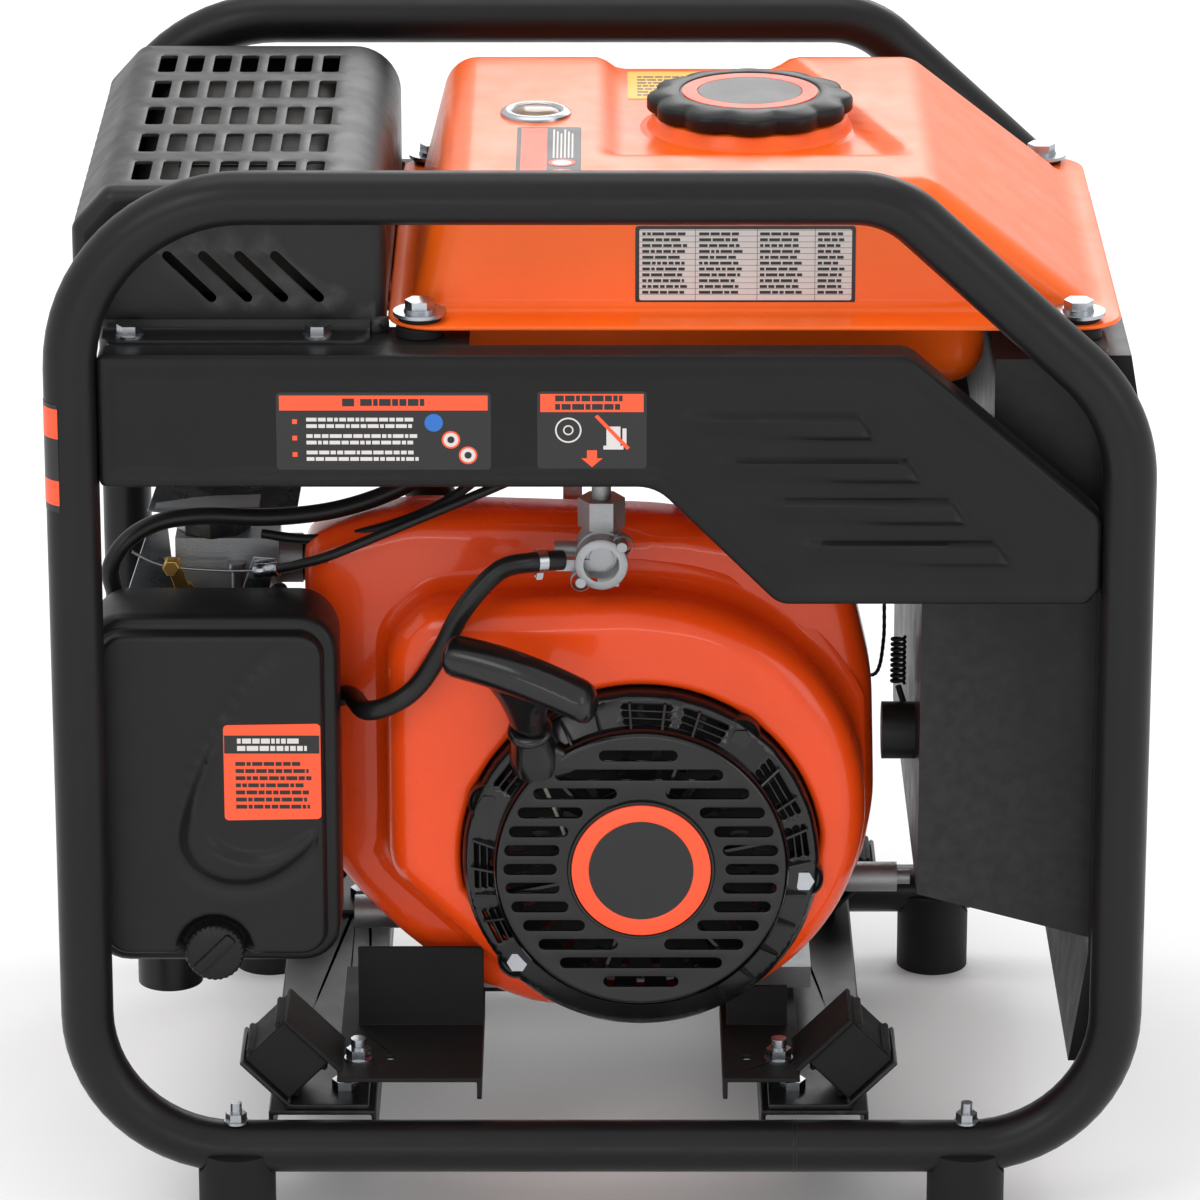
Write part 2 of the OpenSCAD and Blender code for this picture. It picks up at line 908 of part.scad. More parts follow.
module valve_cover() {
  color(black)
    along_cylinder() {
      translate([-38, -36, 164])
        cube([76, 72, 26]);
      translate([-42, -40, 164])
        cube([84, 80, 3]);
      translate([0, 0, 190])
        cylinder(r = 12, h = 3);
    }
}

module spark_plug() {
  color(white)
    along_cylinder()
      translate([-46, 0, 150])
        rotate([0, -90, 0]) {
          translate([0, 0, 0.2])
            hex(19, 10);
          cylinder(r = 5.5, h = 28);
        }
}

module plug_cap() {
  color(rubber)
    along_cylinder()
      translate([-46, 0, 150])
        rotate([0, -90, 0])
          difference() {
            translate([0, 0, 11])
              cylinder(r = 9.5, h = 34);
            translate([0, 0, 10])
              cylinder(r = 5.5, h = 18);
          }
}

module crankshaft() {
  color(steel) {
    rod_y(crank_x, crank_z, journal_r, -58, -30);
    rod_y(crank_x, crank_z, journal_r, 30, 58);
    for (s = [-1, 1])
      rod_y(crank_x, crank_z, 45, s < 0 ? -30 : 13, s < 0 ? -13 : 30);
    rod_y(crank_x, crank_z + 26, 15, -13, 13);
    rod_y(crank_x, crank_z, 12.5, -110, -58);
    rod_y(crank_x, crank_z, 12, 58, 150);
    translate([crank_x, -110, crank_z])
      rotate([90, 0, 0])
        hex(24, 5);
  }
}

// flywheel with cast fan blades and the starter cup
module flywheel() {
  color(steel)
    difference() {
      union() {
        rod_y(crank_x, crank_z, 26, -108, -64);
        rod_y(crank_x, crank_z, 84, -74, -66);
        difference() {
          rod_y(crank_x, crank_z, 32, -117.5, -104);
          rod_y(crank_x, crank_z, 28, -119, -108);
        }
        for (a = [0 : 22.5 : 337.5])
          translate([crank_x, 0, crank_z])
            rotate([0, a, 0])
              block([44, -96, -1.2], [83, -73, 1.2]);
      }
      rod_y(crank_x, crank_z, 12.5, -130, -50);
    }
}

// cooling shroud: flat back part and raised volute round the starter
module fan_shroud() {
  t = 2.2;
  color(red_orange)
    difference() {
      union() {
        prism_y(shroud_pts, -92, -56);
        prism_y(volute_pts, -130, -90);
        rod_y(22, 209, 115.5, -130, -90);
      }
      prism_y(inset(shroud_pts, t), -92 + t, -50);
      prism_y(inset(volute_pts, t), -130 + t, -80);
      rod_y(22, 209, 115.5 - t, -130 + t, -80);
      rod_y(crank_x, crank_z, recoil_r + 0.3, -140, -100);
      rod_x(-46, 322, 13, -160, -145);
    }
}

module disc_slot(x0, x1, row) {
  slot_y(crank_x + x0, crank_x + x1, crank_z + 0.3 + row, 6.3, -152, -146);
}

// recoil starter cover: slotted disc, stepped rim, lugs and rope guide
module recoil_housing() {
  w = 2.4;
  color(black)
    difference() {
      union() {
        difference() {
          union() {
            rod_y(crank_x, crank_z, recoil_r, -140, -112);
            rod_y(crank_x, crank_z, disc_r, -150, -140);
          }
          rod_y(crank_x, crank_z, recoil_r - w, -140 + w, -100);
          rod_y(crank_x, crank_z, disc_r - w, -150 + w, -135);
        }
        rod_y(crank_x, crank_z, 8, -149, -118);
        for (a = recoil_lug_a)
          rod_y(crank_x + recoil_lug_r * cos(a), crank_z + recoil_lug_r * sin(a), 7.3, -138, -114);
        rod(guide - 14 * pull, guide + 6 * pull, 11, 9);
      }
      for (a = recoil_lug_a)
        translate([crank_x + recoil_lug_r * cos(a), 0, crank_z + recoil_lug_r * sin(a)]) {
          rod_y(0, 0, 9, -145, -134);
          rod_y(0, 0, 2.9, -135, -110);
        }
      disc_slot(-21.8, 18.6, 62.5);
      disc_slot(-44.5, 42, 52);
      for (s = [-1, 1]) {
        disc_slot(s < 0 ? -55.5 : 12.5, s < 0 ? -12.5 : 55.5, 41.7);
        disc_slot(s < 0 ? -63.5 : 30, s < 0 ? -30 : 63.5, 31.2);
        disc_slot(s < 0 ? -68 : 37.5, s < 0 ? -37.5 : 68, 20.8);
        disc_slot(s < 0 ? -70.5 : 42, s < 0 ? -42 : 70.5, 10.4);
        disc_slot(s < 0 ? -71 : 43.5, s < 0 ? -43.5 : 71, 0);
        disc_slot(s < 0 ? -70 : 42, s < 0 ? -42 : 70, -10.4);
        disc_slot(s < 0 ? -67 : 37.5, s < 0 ? -37.5 : 67, -20.8);
        disc_slot(s < 0 ? -61 : 29, s < 0 ? -29 : 61, -31.2);
        disc_slot(s < 0 ? -53 : 12, s < 0 ? -12 : 53, -41.7);
      }
      disc_slot(-42, 42, -52);
      disc_slot(-19.5, 19.5, -62.5);
      for (a = [20, 34, 96, 110, 124, 184, 198, 240, 254, 268, 282, 296, 310, 324])
        translate([crank_x, 0, crank_z])
          rotate([0, -a, 0])
            block([84, -134, -6.5], [100, -122, 6.5]);
      rod(guide - 34 * pull, guide + 10 * pull, 3.2);
    }
}

module recoil_reel() {
  color(dark)
    difference() {
      union() {
        rod_y(crank_x, crank_z, 38, -139, -137);
        rod_y(crank_x, crank_z, reel_r - 2, -137.1, -128.9);
        rod_y(crank_x, crank_z, 38, -129, -127);
        rod_y(crank_x, crank_z, 20, -127.1, -121);
      }
      rod_y(crank_x, crank_z, 8 + running_gap, -145, -115);
    }
}

module recoil_badge() {
  color(label_orange)
    difference() {
      rod_y(crank_x, crank_z, 36, -151.2, -150);
      rod_y(crank_x, crank_z, 26, -152, -150.6);
    }
}

rope_route = [[-11, -133, 177], [-17, -133, 195], [-24.5, -133, 215], guide - 33 * pull,
  guide - 20 * pull, guide, guide + 16 * pull];

module starter_rope() {
  color(white)
    cord(rope_route, 2, [0.9, 0.1, 0.3], 4, 8);
}

// T handle: moulded grip and tapered stem with a bore for the knotted rope
module pull_handle() {
  color(black)
    difference() {
      union() {
        rod(grip_c - 37 * grip_dir, grip_c + 37 * grip_dir, 9);
        rod(grip_c - 41 * grip_dir, grip_c - 36 * grip_dir, 6, 9.6);
        rod(grip_c + 41 * grip_dir, grip_c + 36 * grip_dir, 6, 9.6);
        rod(grip_c - 20 * grip_dir, grip_c + 20 * grip_dir, 10.6);
        rod(guide + 6.4 * pull, grip_c, 7.5, 10);
      }
      rod(guide + 4 * pull, guide + 20 * pull, 2.4);
    }
}

// ---------------------------------------------------------------- alternator
module alternator_housing() {
  color(alloy)
    difference() {
      rod_y(crank_x, crank_z, alt_r, 52.3, 122);
      rod_y(crank_x, crank_z, alt_r - 3, 62, 130);
      rod_y(crank_x, crank_z, 24, 50, 70);
      for (a = [15 : 30 : 345])
        translate([crank_x, 0, crank_z])
          rotate([0, a, 0])
            block([60, 50, -7], [70, 64, 7]);
    }
}

module alternator_stator() {
  color(steel)
    difference() {
      rod_y(crank_x, crank_z, alt_r - 3, 66, 118);
      rod_y(crank_x, crank_z, rotor_r + air_gap, 60, 125);
      for (a = [0 : 15 : 345])
        translate([crank_x, 0, crank_z])
          rotate([0, a, 0])
            block([rotor_r - 2, 60, -2], [rotor_r + 12, 125, 2]);
    }
}

module alternator_rotor() {
  color(brass)
    difference() {
      rod_y(crank_x, crank_z, rotor_r, 68, 116);
      rod_y(crank_x, crank_z, 12.1, 60, 125);
      for (s = [0, 180])
        translate([crank_x, 0, crank_z])
          rotate([0, s, 0])
            block([30, 60, -14], [42, 125, 14]);
    }
}

module alternator_cover() {
  color(black)
    difference() {
      union() {
        difference() {
          rod_y(crank_x, crank_z, alt_r, 122, 162);
          rod_y(crank_x, crank_z, alt_r - 4, 121, 156);
        }
        rod_y(crank_x, crank_z, 24, 138, 157);
      }
      for (a = [0 : 20 : 340])
        translate([crank_x, 0, crank_z])
          rotate([0, a, 0])
            block([36, 150, -3], [66, 170, 3]);
      rod_y(crank_x, crank_z, 12 + running_gap, 137, 153);
    }
}

// ---------------------------------------------------------------- air cleaner
module air_box() {
  color(black)
    difference() {
      union() {
        slab_y(-262, -136, 139, 326, -114, -106, 20);
        slab_y(-262, -172, 142, 309, -107, -78, 14);
        translate([-227, -96, 104])
          cylinder(r = 17, h = 46);
        rod_y(-190, 288, 13, -78.5, -62);
      }
      slab_y(-259.5, -174.5, 144.5, 306.5, -105, -80.5, 12);
      slab_y(-256, -178, 150, 302, -116, -104, 10);
      rod_y(-190, 288, 10.5, -90, -60);
      translate([-227, -96, 102])
        cylinder(r = 14, h = 46);
    }
}

// cover with a raised rim at the top and a notch for the knob
module air_box_cover() {
  color(black)
    difference() {
      union() {
        difference() {
          union() {
            slab_y(-262, -136, 136, 320, -160, -114, 20);
            slab_y(-264, -134.5, 300, 326.5, -150, -114, 12);
          }
          slab_y(-259.5, -138.5, 138.5, 323.5, -157.5, -113, 17);
        }
        block([knob_x - 19.5, -156.5, 136], [knob_x + 19.5, -151.5, knob_z + 22]);
        block([knob_x - 19.5, -158.5, 136], [knob_x - 17, -151.5, knob_z + 22]);
        block([knob_x + 17, -158.5, 136], [knob_x + 19.5, -151.5, knob_z + 22]);
        block([knob_x - 19.5, -158.5, knob_z + 17], [knob_x + 19.5, -151.5, knob_z + 22]);
      }
      rod_y(knob_x, knob_z, 16.5, -165, -154);
      block([knob_x - 16.5, -165, 120], [knob_x + 16.5, -154, knob_z]);
      rod_y(knob_x, knob_z, 4 + running_gap, -160, -150);
    }
}

module air_filter() {
  color([0.62, 0.60, 0.52])
    difference() {
      slab_y(-250, -150, 172, 308, -146, -116, 10);
      slab_y(-235, -165, 187, 293, -147, -124, 8);
    }
}

module air_box_knob() {
  color(dark) {
    rod_y(knob_x, knob_z, 15.6, -164, -154.3);
    rod_y(knob_x, knob_z, 4, -155, -146);
    translate([knob_x, 0, knob_z])
      rotate([0, -45, 0])
        block([-13, -166, -2.5], [13, -163.9, 2.5]);
  }
}

// ---------------------------------------------------------------- carburettor
module carburettor() {
  color(alloy)
    difference() {
      union() {
        block([-222, -62, 274], [-168, -30, 338]);
        translate([-205, -46, 252])
          cylinder(r = 19, h = 23);
        rod_x(-46, 322, 13, -170, -156);
        rod([-176, -60, 318], [-167, -76, 312], 3.2);
        translate([-203, -44, 338])
          cylinder(r = 19, h = 11, $fn = 8);
        translate([-203, -44, 349])
          cylinder(r1 = 17, r2 = 12, h = 4, $fn = 8);
        block([-232, -60, 352.5], [-178, -22, 354.5]);
      }
      rod_x(-46, 322, 9, -230, -150);
      rod_y(-190, 288, 9, -63, -44);
      rod_y(-216, 300, 3 + running_gap, -64, -50);
    }
}

module intake_pipe() {
  color(black) {
    along_cylinder()
      translate([52, -28, 147])
        rotate([0, 90, 0])
          translate([-15, -14, 0])
            cube([30, 28, 5]);
    rod([-89, -28, 301], [-81, -30, 322], 11);
    rod_y(-81, 322, 14, -44, -16);
    rod([-81, -30, 322], [-140, -46, 322], 11.5);
    translate([-140, -46, 308.5])
      cylinder(r = 13.5, h = 27);
    rod_x(-46, 322, 12, -156, -140);
  }
}

module choke_lever() {
  color(brass) {
    rod_y(-216, 300, 3, -70, -58);
    block([-219, -72, 297], [-213, -69.8, 316]);
    rod_y(-216, 313, 4.5, -74, -69.9);
  }
}

cable_route = [[-186, -72, 315], [-176, -75, 319], [-165, -85, 327], [-157, -96, 335],
  [-140, -99, 341], [-110, -99, 354], [-80, -99, 367], [-50, -98, 380], [-10, -90, 396],
  [40, -76, 408], [100, -66, 412], [160, -61, 404], [190, -60, 402], [210, -60, 406],
  [235, -60, 414]];

// choke cable sheath from the clamp at the carburettor to the panel knob
module choke_cable() {
  color(rubber) {
    cord(cable_route, 2.8, [0.1, 0.2, 1], 4, 8);
    block([-187, -76, 309], [-177, -75.1, 319]);
  }
}

conduit_route = [[197.4, -68, 392], [184, -68, 391], [165, -67, 374], [151, -66, 345],
  [148, -62, 312], [148, -56, 280], [145, -36, 254], [135, 4, 242], [122, 50, 238],
  [106, 88, 230], [92.6, 90, 223.6]];

// corrugated conduit from the alternator to the control box
module wiring_conduit() {
  color(rubber)
    cord(conduit_route, 6, [0.2, 1, 0.1], 6, 8, 1);
}

// ---------------------------------------------------------------- control panel
module control_box() {
  color(black)
    difference() {
      union() {
        difference() {
          prism_y(box_pts, -148, 148);
          prism_y(inset(box_pts, 1.5), -146.5, 146.5);
          block([245, -146.5, 160], [260, 146.5, 460.4]);
        }
        rod_x(-90, 242, 15, 146, 163.5);
      }
      rod_x(-60, 403, 6, 190, 205);
    }
}

module control_panel() {
  px = panel_plate_x;
  color(dark)
    difference() {
      union() {
        difference() {
          prism_y(bezel_pts, -151, 151);
          prism_y(inset(bezel_pts, 3), -148, 148);
          block([245, -148, 152], [256, 148, 460]);
        }
        intersection() {
          prism_y(bezel_pts, -150, 150);
          block([px - 4, -129, 151], [290, 129, 443]);
        }
      }
      block([px, -126, 154], [290, 126, 440]);
      for (y = [-65, 25])
        rod_x(y, socket_z, socket_r - 2, px - 10, px + 10);
      block([px - 10, -92.9, 352.1], [px + 10, -47.1, 391.9]);
      rod_x(-60, 414, 3 + running_gap, px - 10, px + 10);
      rod_x(20, 372, 7 + running_gap, px - 10, px + 10);
      rod_x(82, 372, 4 + running_gap, px - 10, px + 10);
      rod_x(96, 168, 3, px - 10, px + 10);
    }
}

// two round outlets with hinge ears for their lids
module outlet_sockets() {
  px = panel_plate_x;
  color(dark)
    for (y = [-65, 25])
      translate([0, y, socket_z]) {
        difference() {
          union() {
            rod_x(0, 0, socket_r - 2.1, 236, px);
            rod_x(0, 0, socket_r + 3, px, px + 4);
          }
          rod_x(0, 0, 19, 248, px + 8);
          for (a = [90, 210, 330])
            rod_x(9.5 * cos(a), 9.5 * sin(a), 2.4, 238, 252);
        }
        for (s = [-1, 1])
          translate([0, s * 11, 0])
            block([px, -2.5, 27], [px + 9, 2.5, 35]);
        translate([px + 6.5, -12, 31])
          rotate([-90, 0, 0])
            cylinder(r = 1.5, h = 24);
      }
}

// sprung lid over an outlet, closed
module socket_lid() {
  px = panel_plate_x;
  difference() {
    union() {
      rod_x(0, 0, 25.5, px + 4.3, px + 7.3);
      block([px + 4.3, -6, 20], [px + 7.3, 6, 31]);
      translate([px + 6.5, -8, 31])
        rotate([-90, 0, 0])
          cylinder(r = 3, h = 16);
      block([px + 7.2, -8, -24], [px + 10, 8, -20]);
    }
    translate([px + 6.5, -13, 31])
      rotate([-90, 0, 0])
        cylinder(r = 1.5 + running_gap, h = 26);
  }
}

module socket_flap_front() {
  color(black)
    translate([0, -65, socket_z])
      socket_lid();
}

module socket_flap_rear() {
  color(black)
    translate([0, 25, socket_z])
      socket_lid();
}

module voltmeter() {
  px = panel_plate_x;
  color(black)
    block([px - 14, -92.8, 352.2], [px, -47.2, 391.8]);
  color(white)
    block([px, -95, 350], [px + 4, -45, 394]);
}

module breaker_button() {
  color(white) {
    rod_x(20, 372, 7, panel_plate_x - 8, panel_plate_x + 7);
    rod_x(20, 372, 9, panel_plate_x - 8, panel_plate_x - 4.3);
  }
}

module engine_switch() {
  px = panel_plate_x;
  color(label_orange) {
    rod_x(82, 372, 4, px - 9, px + 1);
    rod_x(82, 372, 15, px + 0.4, px + 5);
    block([px + 5, 78.5, 358], [px + 11, 85.5, 386]);
  }
}

module choke_knob() {
  px = panel_plate_x;
  color(black) {
    rod_x(-60, 414, 3, px - 25.3, px + 1);
    rod_x(-60, 414, 9, px + 0.4, px + 11);
  }
}

module ground_terminal() {
  px = panel_plate_x;
  color(brass) {
    rod_x(96, 168, 3, px - 10, px + 11);
    translate([px, 96, 168])
      rotate([0, 90, 0])
        hex(10, 4);
  }
}

// ---------------------------------------------------------------- drawing
front_hoop();
rear_hoop();
base_rails();
front_panel();
rear_panel();
rubber_feet();
frame_bolts();
mount_brackets();
rubber_mounts();
mount_arms();
fuel_tank();
tank_grommets();
tank_bolts();
fuel_cap();
cap_insert();
fuel_gauge();
fuel_valve();
fuel_valve_lever();
fuel_hose();
muffler();
muffler_guard();
flange_bolts();
exhaust_pipe();
heat_baffle();
crankcase();
cylinder_head();
valve_cover();
spark_plug();
plug_cap();
crankshaft();
flywheel();
fan_shroud();
recoil_housing();
recoil_reel();
recoil_badge();
starter_rope();
pull_handle();
alternator_housing();
alternator_stator();
alternator_rotor();
alternator_cover();
air_box();
air_box_cover();
air_filter();
air_box_knob();
carburettor();
intake_pipe();
choke_lever();
choke_cable();
wiring_conduit();
control_box();
control_panel();
outlet_sockets();
socket_flap_front();
socket_flap_rear();
voltmeter();
breaker_button();
engine_switch();
choke_knob();
ground_terminal();
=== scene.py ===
"""Looks of the portable generator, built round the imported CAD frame.

Lengths in the shape tables are millimetres; every mesh is scaled to metres when it is made.
"""
from math import (acos, atan2, copysign, cos, degrees, exp, hypot, pi, radians, remainder, sin,
                  sqrt, tan)
import bmesh
import bpy
import numpy as np
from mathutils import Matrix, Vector, geometry


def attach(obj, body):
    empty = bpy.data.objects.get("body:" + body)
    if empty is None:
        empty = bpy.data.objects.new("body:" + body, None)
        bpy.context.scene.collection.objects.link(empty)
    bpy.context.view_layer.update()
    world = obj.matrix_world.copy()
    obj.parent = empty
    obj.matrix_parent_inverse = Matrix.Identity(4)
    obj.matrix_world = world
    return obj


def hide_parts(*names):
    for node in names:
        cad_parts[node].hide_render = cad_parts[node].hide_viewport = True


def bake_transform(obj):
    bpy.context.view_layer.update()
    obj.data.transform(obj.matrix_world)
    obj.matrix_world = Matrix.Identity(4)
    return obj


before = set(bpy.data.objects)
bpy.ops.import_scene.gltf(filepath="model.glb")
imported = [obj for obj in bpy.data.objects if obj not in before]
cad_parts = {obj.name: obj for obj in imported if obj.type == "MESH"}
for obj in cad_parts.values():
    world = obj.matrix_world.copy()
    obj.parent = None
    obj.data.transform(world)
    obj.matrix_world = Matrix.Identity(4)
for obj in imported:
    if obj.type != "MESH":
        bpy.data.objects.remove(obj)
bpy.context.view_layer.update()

MM = 0.001
TAU = 2 * pi
RIGHT, BACK, UP = (1, 0, 0), (0, 1, 0), (0, 0, 1)
FRONT = (0, -1, 0)


# ------------------------------------------------ materials
def srgb(r, g, b):
    """Linear colour from 0-255 display values."""
    out = []
    for c in (r, g, b):
        c /= 255
        out.append(c / 12.92 if c <= 0.04045 else ((c + 0.055) / 1.055) ** 2.4)
    return (*out, 1.0)


def scaled(colour, k):
    """A colour made lighter or darker, still opaque."""
    return (*[min(1.0, c * k) for c in colour[:3]], 1.0)


class Nodes:
    """Small helper that adds and links shader nodes."""

    def __init__(self, name):
        self.mat = bpy.data.materials.new(name)
        self.mat.use_nodes = True
        self.tree = self.mat.node_tree
        self.bsdf = self.tree.nodes["Principled BSDF"]

    def add(self, kind, **values):
        node = self.tree.nodes.new(kind)
        for key, value in values.items():
            if key.startswith("in_"):
                node.inputs[key[3:].replace("_", " ")].default_value = value
            else:
                setattr(node, key, value)
        return node

    def set(self, **values):
        """Plain values of the surface shader."""
        for key, value in values.items():
            self.bsdf.inputs[key.replace("_", " ")].default_value = value

    def link(self, a, b):
        self.tree.links.new(a, b)

    def coords(self):
        return self.add("ShaderNodeTexCoord").outputs["Object"]

    def noise(self, scale, detail=3.0):
        n = self.add("ShaderNodeTexNoise", in_Scale=scale, in_Detail=detail, in_Roughness=0.55)
        self.link(self.coords(), n.inputs["Vector"])
        return n.outputs["Fac"]

    def ramp(self, fac, low, high):
        r = self.add("ShaderNodeValToRGB")
        r.color_ramp.elements[0].position, r.color_ramp.elements[1].position = 0.35, 0.65
        r.color_ramp.elements[0].color, r.color_ramp.elements[1].color = low, high
        self.link(fac, r.inputs["Fac"])
        return r.outputs["Color"]

    def spread(self, fac, low, high, a=0.3, b=0.7):
        """Maps a..b of a factor to a range of numbers."""
        m = self.add("ShaderNodeMapRange", in_From_Min=a, in_From_Max=b, in_To_Min=low, in_To_Max=high)
        self.link(fac, m.inputs["Value"])
        return m.outputs["Result"]

    def bump(self, height, strength, distance, under=None):
        b = self.add("ShaderNodeBump", in_Strength=strength, in_Distance=distance)
        self.link(height, b.inputs["Height"])
        if under is not None:
            self.link(under, b.inputs["Normal"])
        return b.outputs["Normal"]


MATS = {}
BARE_METAL = (0.35, 0.35, 0.36, 1.0)


def finish(name, colour, rough, metal=0.0, vary=0.12, grain=900.0, grain_strength=0.25,
           grain_depth=0.00008, wave=0.0, coat=0.0, coat_rough=0.1, specular=0.5, wear=0.0,
           rough_vary=0.06):
    """A painted, moulded or metal finish: mottled colour, uneven gloss, fine grain, worn edges."""
    n = Nodes(name)
    surface = n.bsdf.inputs
    mottled = n.ramp(n.noise(14.0, 5.0), scaled(colour, 1 - vary), scaled(colour, 1 + vary))
    if wear > 0:
        geo = n.add("ShaderNodeNewGeometry").outputs["Pointiness"]
        mul = n.add("ShaderNodeMath", operation="MULTIPLY")
        n.link(n.spread(geo, 0.0, wear, 0.53, 0.60), mul.inputs[0])
        n.link(n.noise(160.0, 4.0), mul.inputs[1])
        mix = n.add("ShaderNodeMix", data_type="RGBA")
        n.link(mul.outputs[0], mix.inputs[0])
        n.link(mottled, mix.inputs[6])
        mix.inputs[7].default_value = BARE_METAL
        mottled = mix.outputs[2]
    n.link(mottled, surface["Base Color"])
    n.link(n.spread(n.noise(45.0, 4.0), max(0.02, rough - rough_vary), rough + rough_vary),
           surface["Roughness"])
    normal = n.bump(n.noise(grain, 2.0), grain_strength, grain_depth)
    if wave > 0:
        normal = n.bump(n.noise(60.0, 1.0), wave, 0.0006, normal)
    n.link(normal, surface["Normal"])
    n.set(Metallic=metal, Specular_IOR_Level=specular, Coat_Weight=coat, Coat_Roughness=coat_rough)
    MATS[name] = n.mat


ORANGE = srgb(250, 102, 22)
SHROUD_ORANGE = srgb(232, 72, 16)
LABEL_ORANGE = srgb(255, 84, 40)

finish("powder_black", srgb(19, 19, 21), 0.36, vary=0.10, grain=1400.0, grain_strength=0.35,
       wave=0.10, wear=0.25, specular=0.26)
finish("sheet_black", srgb(20, 20, 21), 0.42, vary=0.10, grain=1500.0, grain_strength=0.3,
       wear=0.15, specular=0.22)
finish("guard_grey", srgb(27, 27, 28), 0.38, vary=0.08, grain=1300.0, grain_strength=0.35,
       wear=0.15, specular=0.3)
finish("tank_orange", ORANGE, 0.34, vary=0.05, grain=700.0, grain_strength=0.08, wave=0.05,
       coat=0.16, coat_rough=0.14, specular=0.28)
finish("shroud_orange", SHROUD_ORANGE, 0.30, vary=0.06, grain=700.0, grain_strength=0.08, wave=0.05,
       coat=0.4, coat_rough=0.07, specular=0.25)
finish("moulded_black", srgb(19, 19, 20), 0.38, vary=0.08, grain=2200.0, grain_strength=0.4,
       grain_depth=0.00006, specular=0.28)
finish("gloss_black", srgb(16, 16, 17), 0.22, vary=0.12, grain=1800.0, grain_strength=0.12,
       coat=0.22, coat_rough=0.12, specular=0.35)
finish("rubber", srgb(24, 24, 24), 0.62, vary=0.18, grain=2600.0, grain_strength=0.5, specular=0.2)
finish("hose_rubber", srgb(20, 20, 21), 0.38, vary=0.15, grain=1600.0, grain_strength=0.3, specular=0.3)
finish("zinc", srgb(176, 180, 185), 0.27, metal=1.0, vary=0.10, grain=1800.0, grain_strength=0.2)
finish("zinc_yellow", srgb(190, 160, 90), 0.3, metal=1.0, vary=0.15, grain=1500.0, grain_strength=0.2)
finish("alloy_cast", srgb(160, 162, 164), 0.5, metal=0.9, vary=0.12, grain=900.0,
       grain_strength=0.7, grain_depth=0.00025)
finish("steel_bare", srgb(150, 151, 154), 0.34, metal=1.0, vary=0.12, grain=700.0, grain_strength=0.2)
finish("exhaust_steel", srgb(52, 49, 46), 0.55, metal=0.7, vary=0.25, grain=500.0, grain_strength=0.3)
finish("brass", srgb(196, 156, 84), 0.3, metal=1.0, vary=0.12, grain=900.0, grain_strength=0.2)
finish("copper", srgb(184, 100, 60), 0.35, metal=1.0, vary=0.15, grain=500.0, grain_strength=0.3)
finish("foam", srgb(120, 116, 100), 0.95, vary=0.2, grain=500.0, grain_strength=1.0,
       grain_depth=0.001, specular=0.1)
finish("ceramic", srgb(225, 222, 214), 0.25, vary=0.04, grain=400.0, grain_strength=0.1)
finish("rope", srgb(196, 190, 176), 0.85, vary=0.15, grain=1200.0, grain_strength=1.0,
       grain_depth=0.0004, specular=0.2)
finish("dial_white", srgb(232, 232, 226), 0.35, vary=0.02, grain=1200.0, grain_strength=0.05)
for label, colour, rough, vary in (
        ("label_orange", LABEL_ORANGE, 0.38, 0.03),
        ("label_black", srgb(20, 20, 21), 0.36, 0.08),
        ("label_white", srgb(214, 208, 205), 0.42, 0.03),
        ("label_yellow", srgb(250, 180, 20), 0.40, 0.03),
        ("label_blue", srgb(30, 105, 190), 0.40, 0.03),
        ("print_grey", srgb(120, 116, 114), 0.45, 0.10)):
    finish(label, colour, rough, vary=vary, grain=1500.0, grain_strength=0.1, rough_vary=0.03)


def clear_plastic():
    """Slightly yellowed clear plastic of the gauge dome."""
    n = Nodes("clear_plastic")
    n.link(n.ramp(n.noise(30.0), srgb(150, 120, 100), srgb(190, 165, 150)), n.bsdf.inputs["Base Color"])
    n.link(n.spread(n.noise(80.0), 0.05, 0.16), n.bsdf.inputs["Roughness"])
    n.set(Transmission_Weight=0.35, IOR=1.49)
    MATS["clear_plastic"] = n.mat


clear_plastic()


def link_piece(name, mesh, mat, body="frame", slot=None, replaces=(), sharp=35):
    """Puts a mesh in the scene as one named piece that rides on a body."""
    mesh.materials.append(MATS[mat])
    mesh.shade_smooth()
    mesh.set_sharp_from_angle(angle=radians(sharp))
    obj = bpy.data.objects.new(name, mesh)
    bpy.context.scene.collection.objects.link(obj)
    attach(obj, body)
    if replaces:
        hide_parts(*replaces)
    return obj


def link_soft(name, skin, mat):
    """A mesh without a parent, laid between the frame and a moving body."""
    mesh = mesh_from(name, *skin)
    mesh.materials.append(MATS[mat])
    mesh.shade_smooth()
    obj = bpy.data.objects.new(name, mesh)
    bpy.context.scene.collection.objects.link(obj)
    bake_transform(obj)
    return obj


def mesh_from(name, verts, faces, weld=0.01, fix_normals=True):
    """Mesh from millimetre points, welded, with outward normals."""
    bm = bmesh.new()
    made = [bm.verts.new(v) for v in verts]
    for f in faces:
        if len(set(f)) == len(f) and len(f) > 2:
            try:
                bm.faces.new([made[i] for i in f])
            except ValueError:
                pass
    bmesh.ops.remove_doubles(bm, verts=bm.verts, dist=weld)
    bmesh.ops.dissolve_degenerate(bm, edges=bm.edges, dist=weld * 0.5)
    loose = [v for v in bm.verts if not v.link_faces]
    bmesh.ops.delete(bm, geom=loose, context="VERTS")
    if fix_normals:
        bmesh.ops.recalc_face_normals(bm, faces=bm.faces)
    bmesh.ops.scale(bm, vec=(MM, MM, MM), verts=bm.verts)
    mesh = bpy.data.meshes.new(name)
    bm.to_mesh(mesh)
    bm.free()
    return mesh


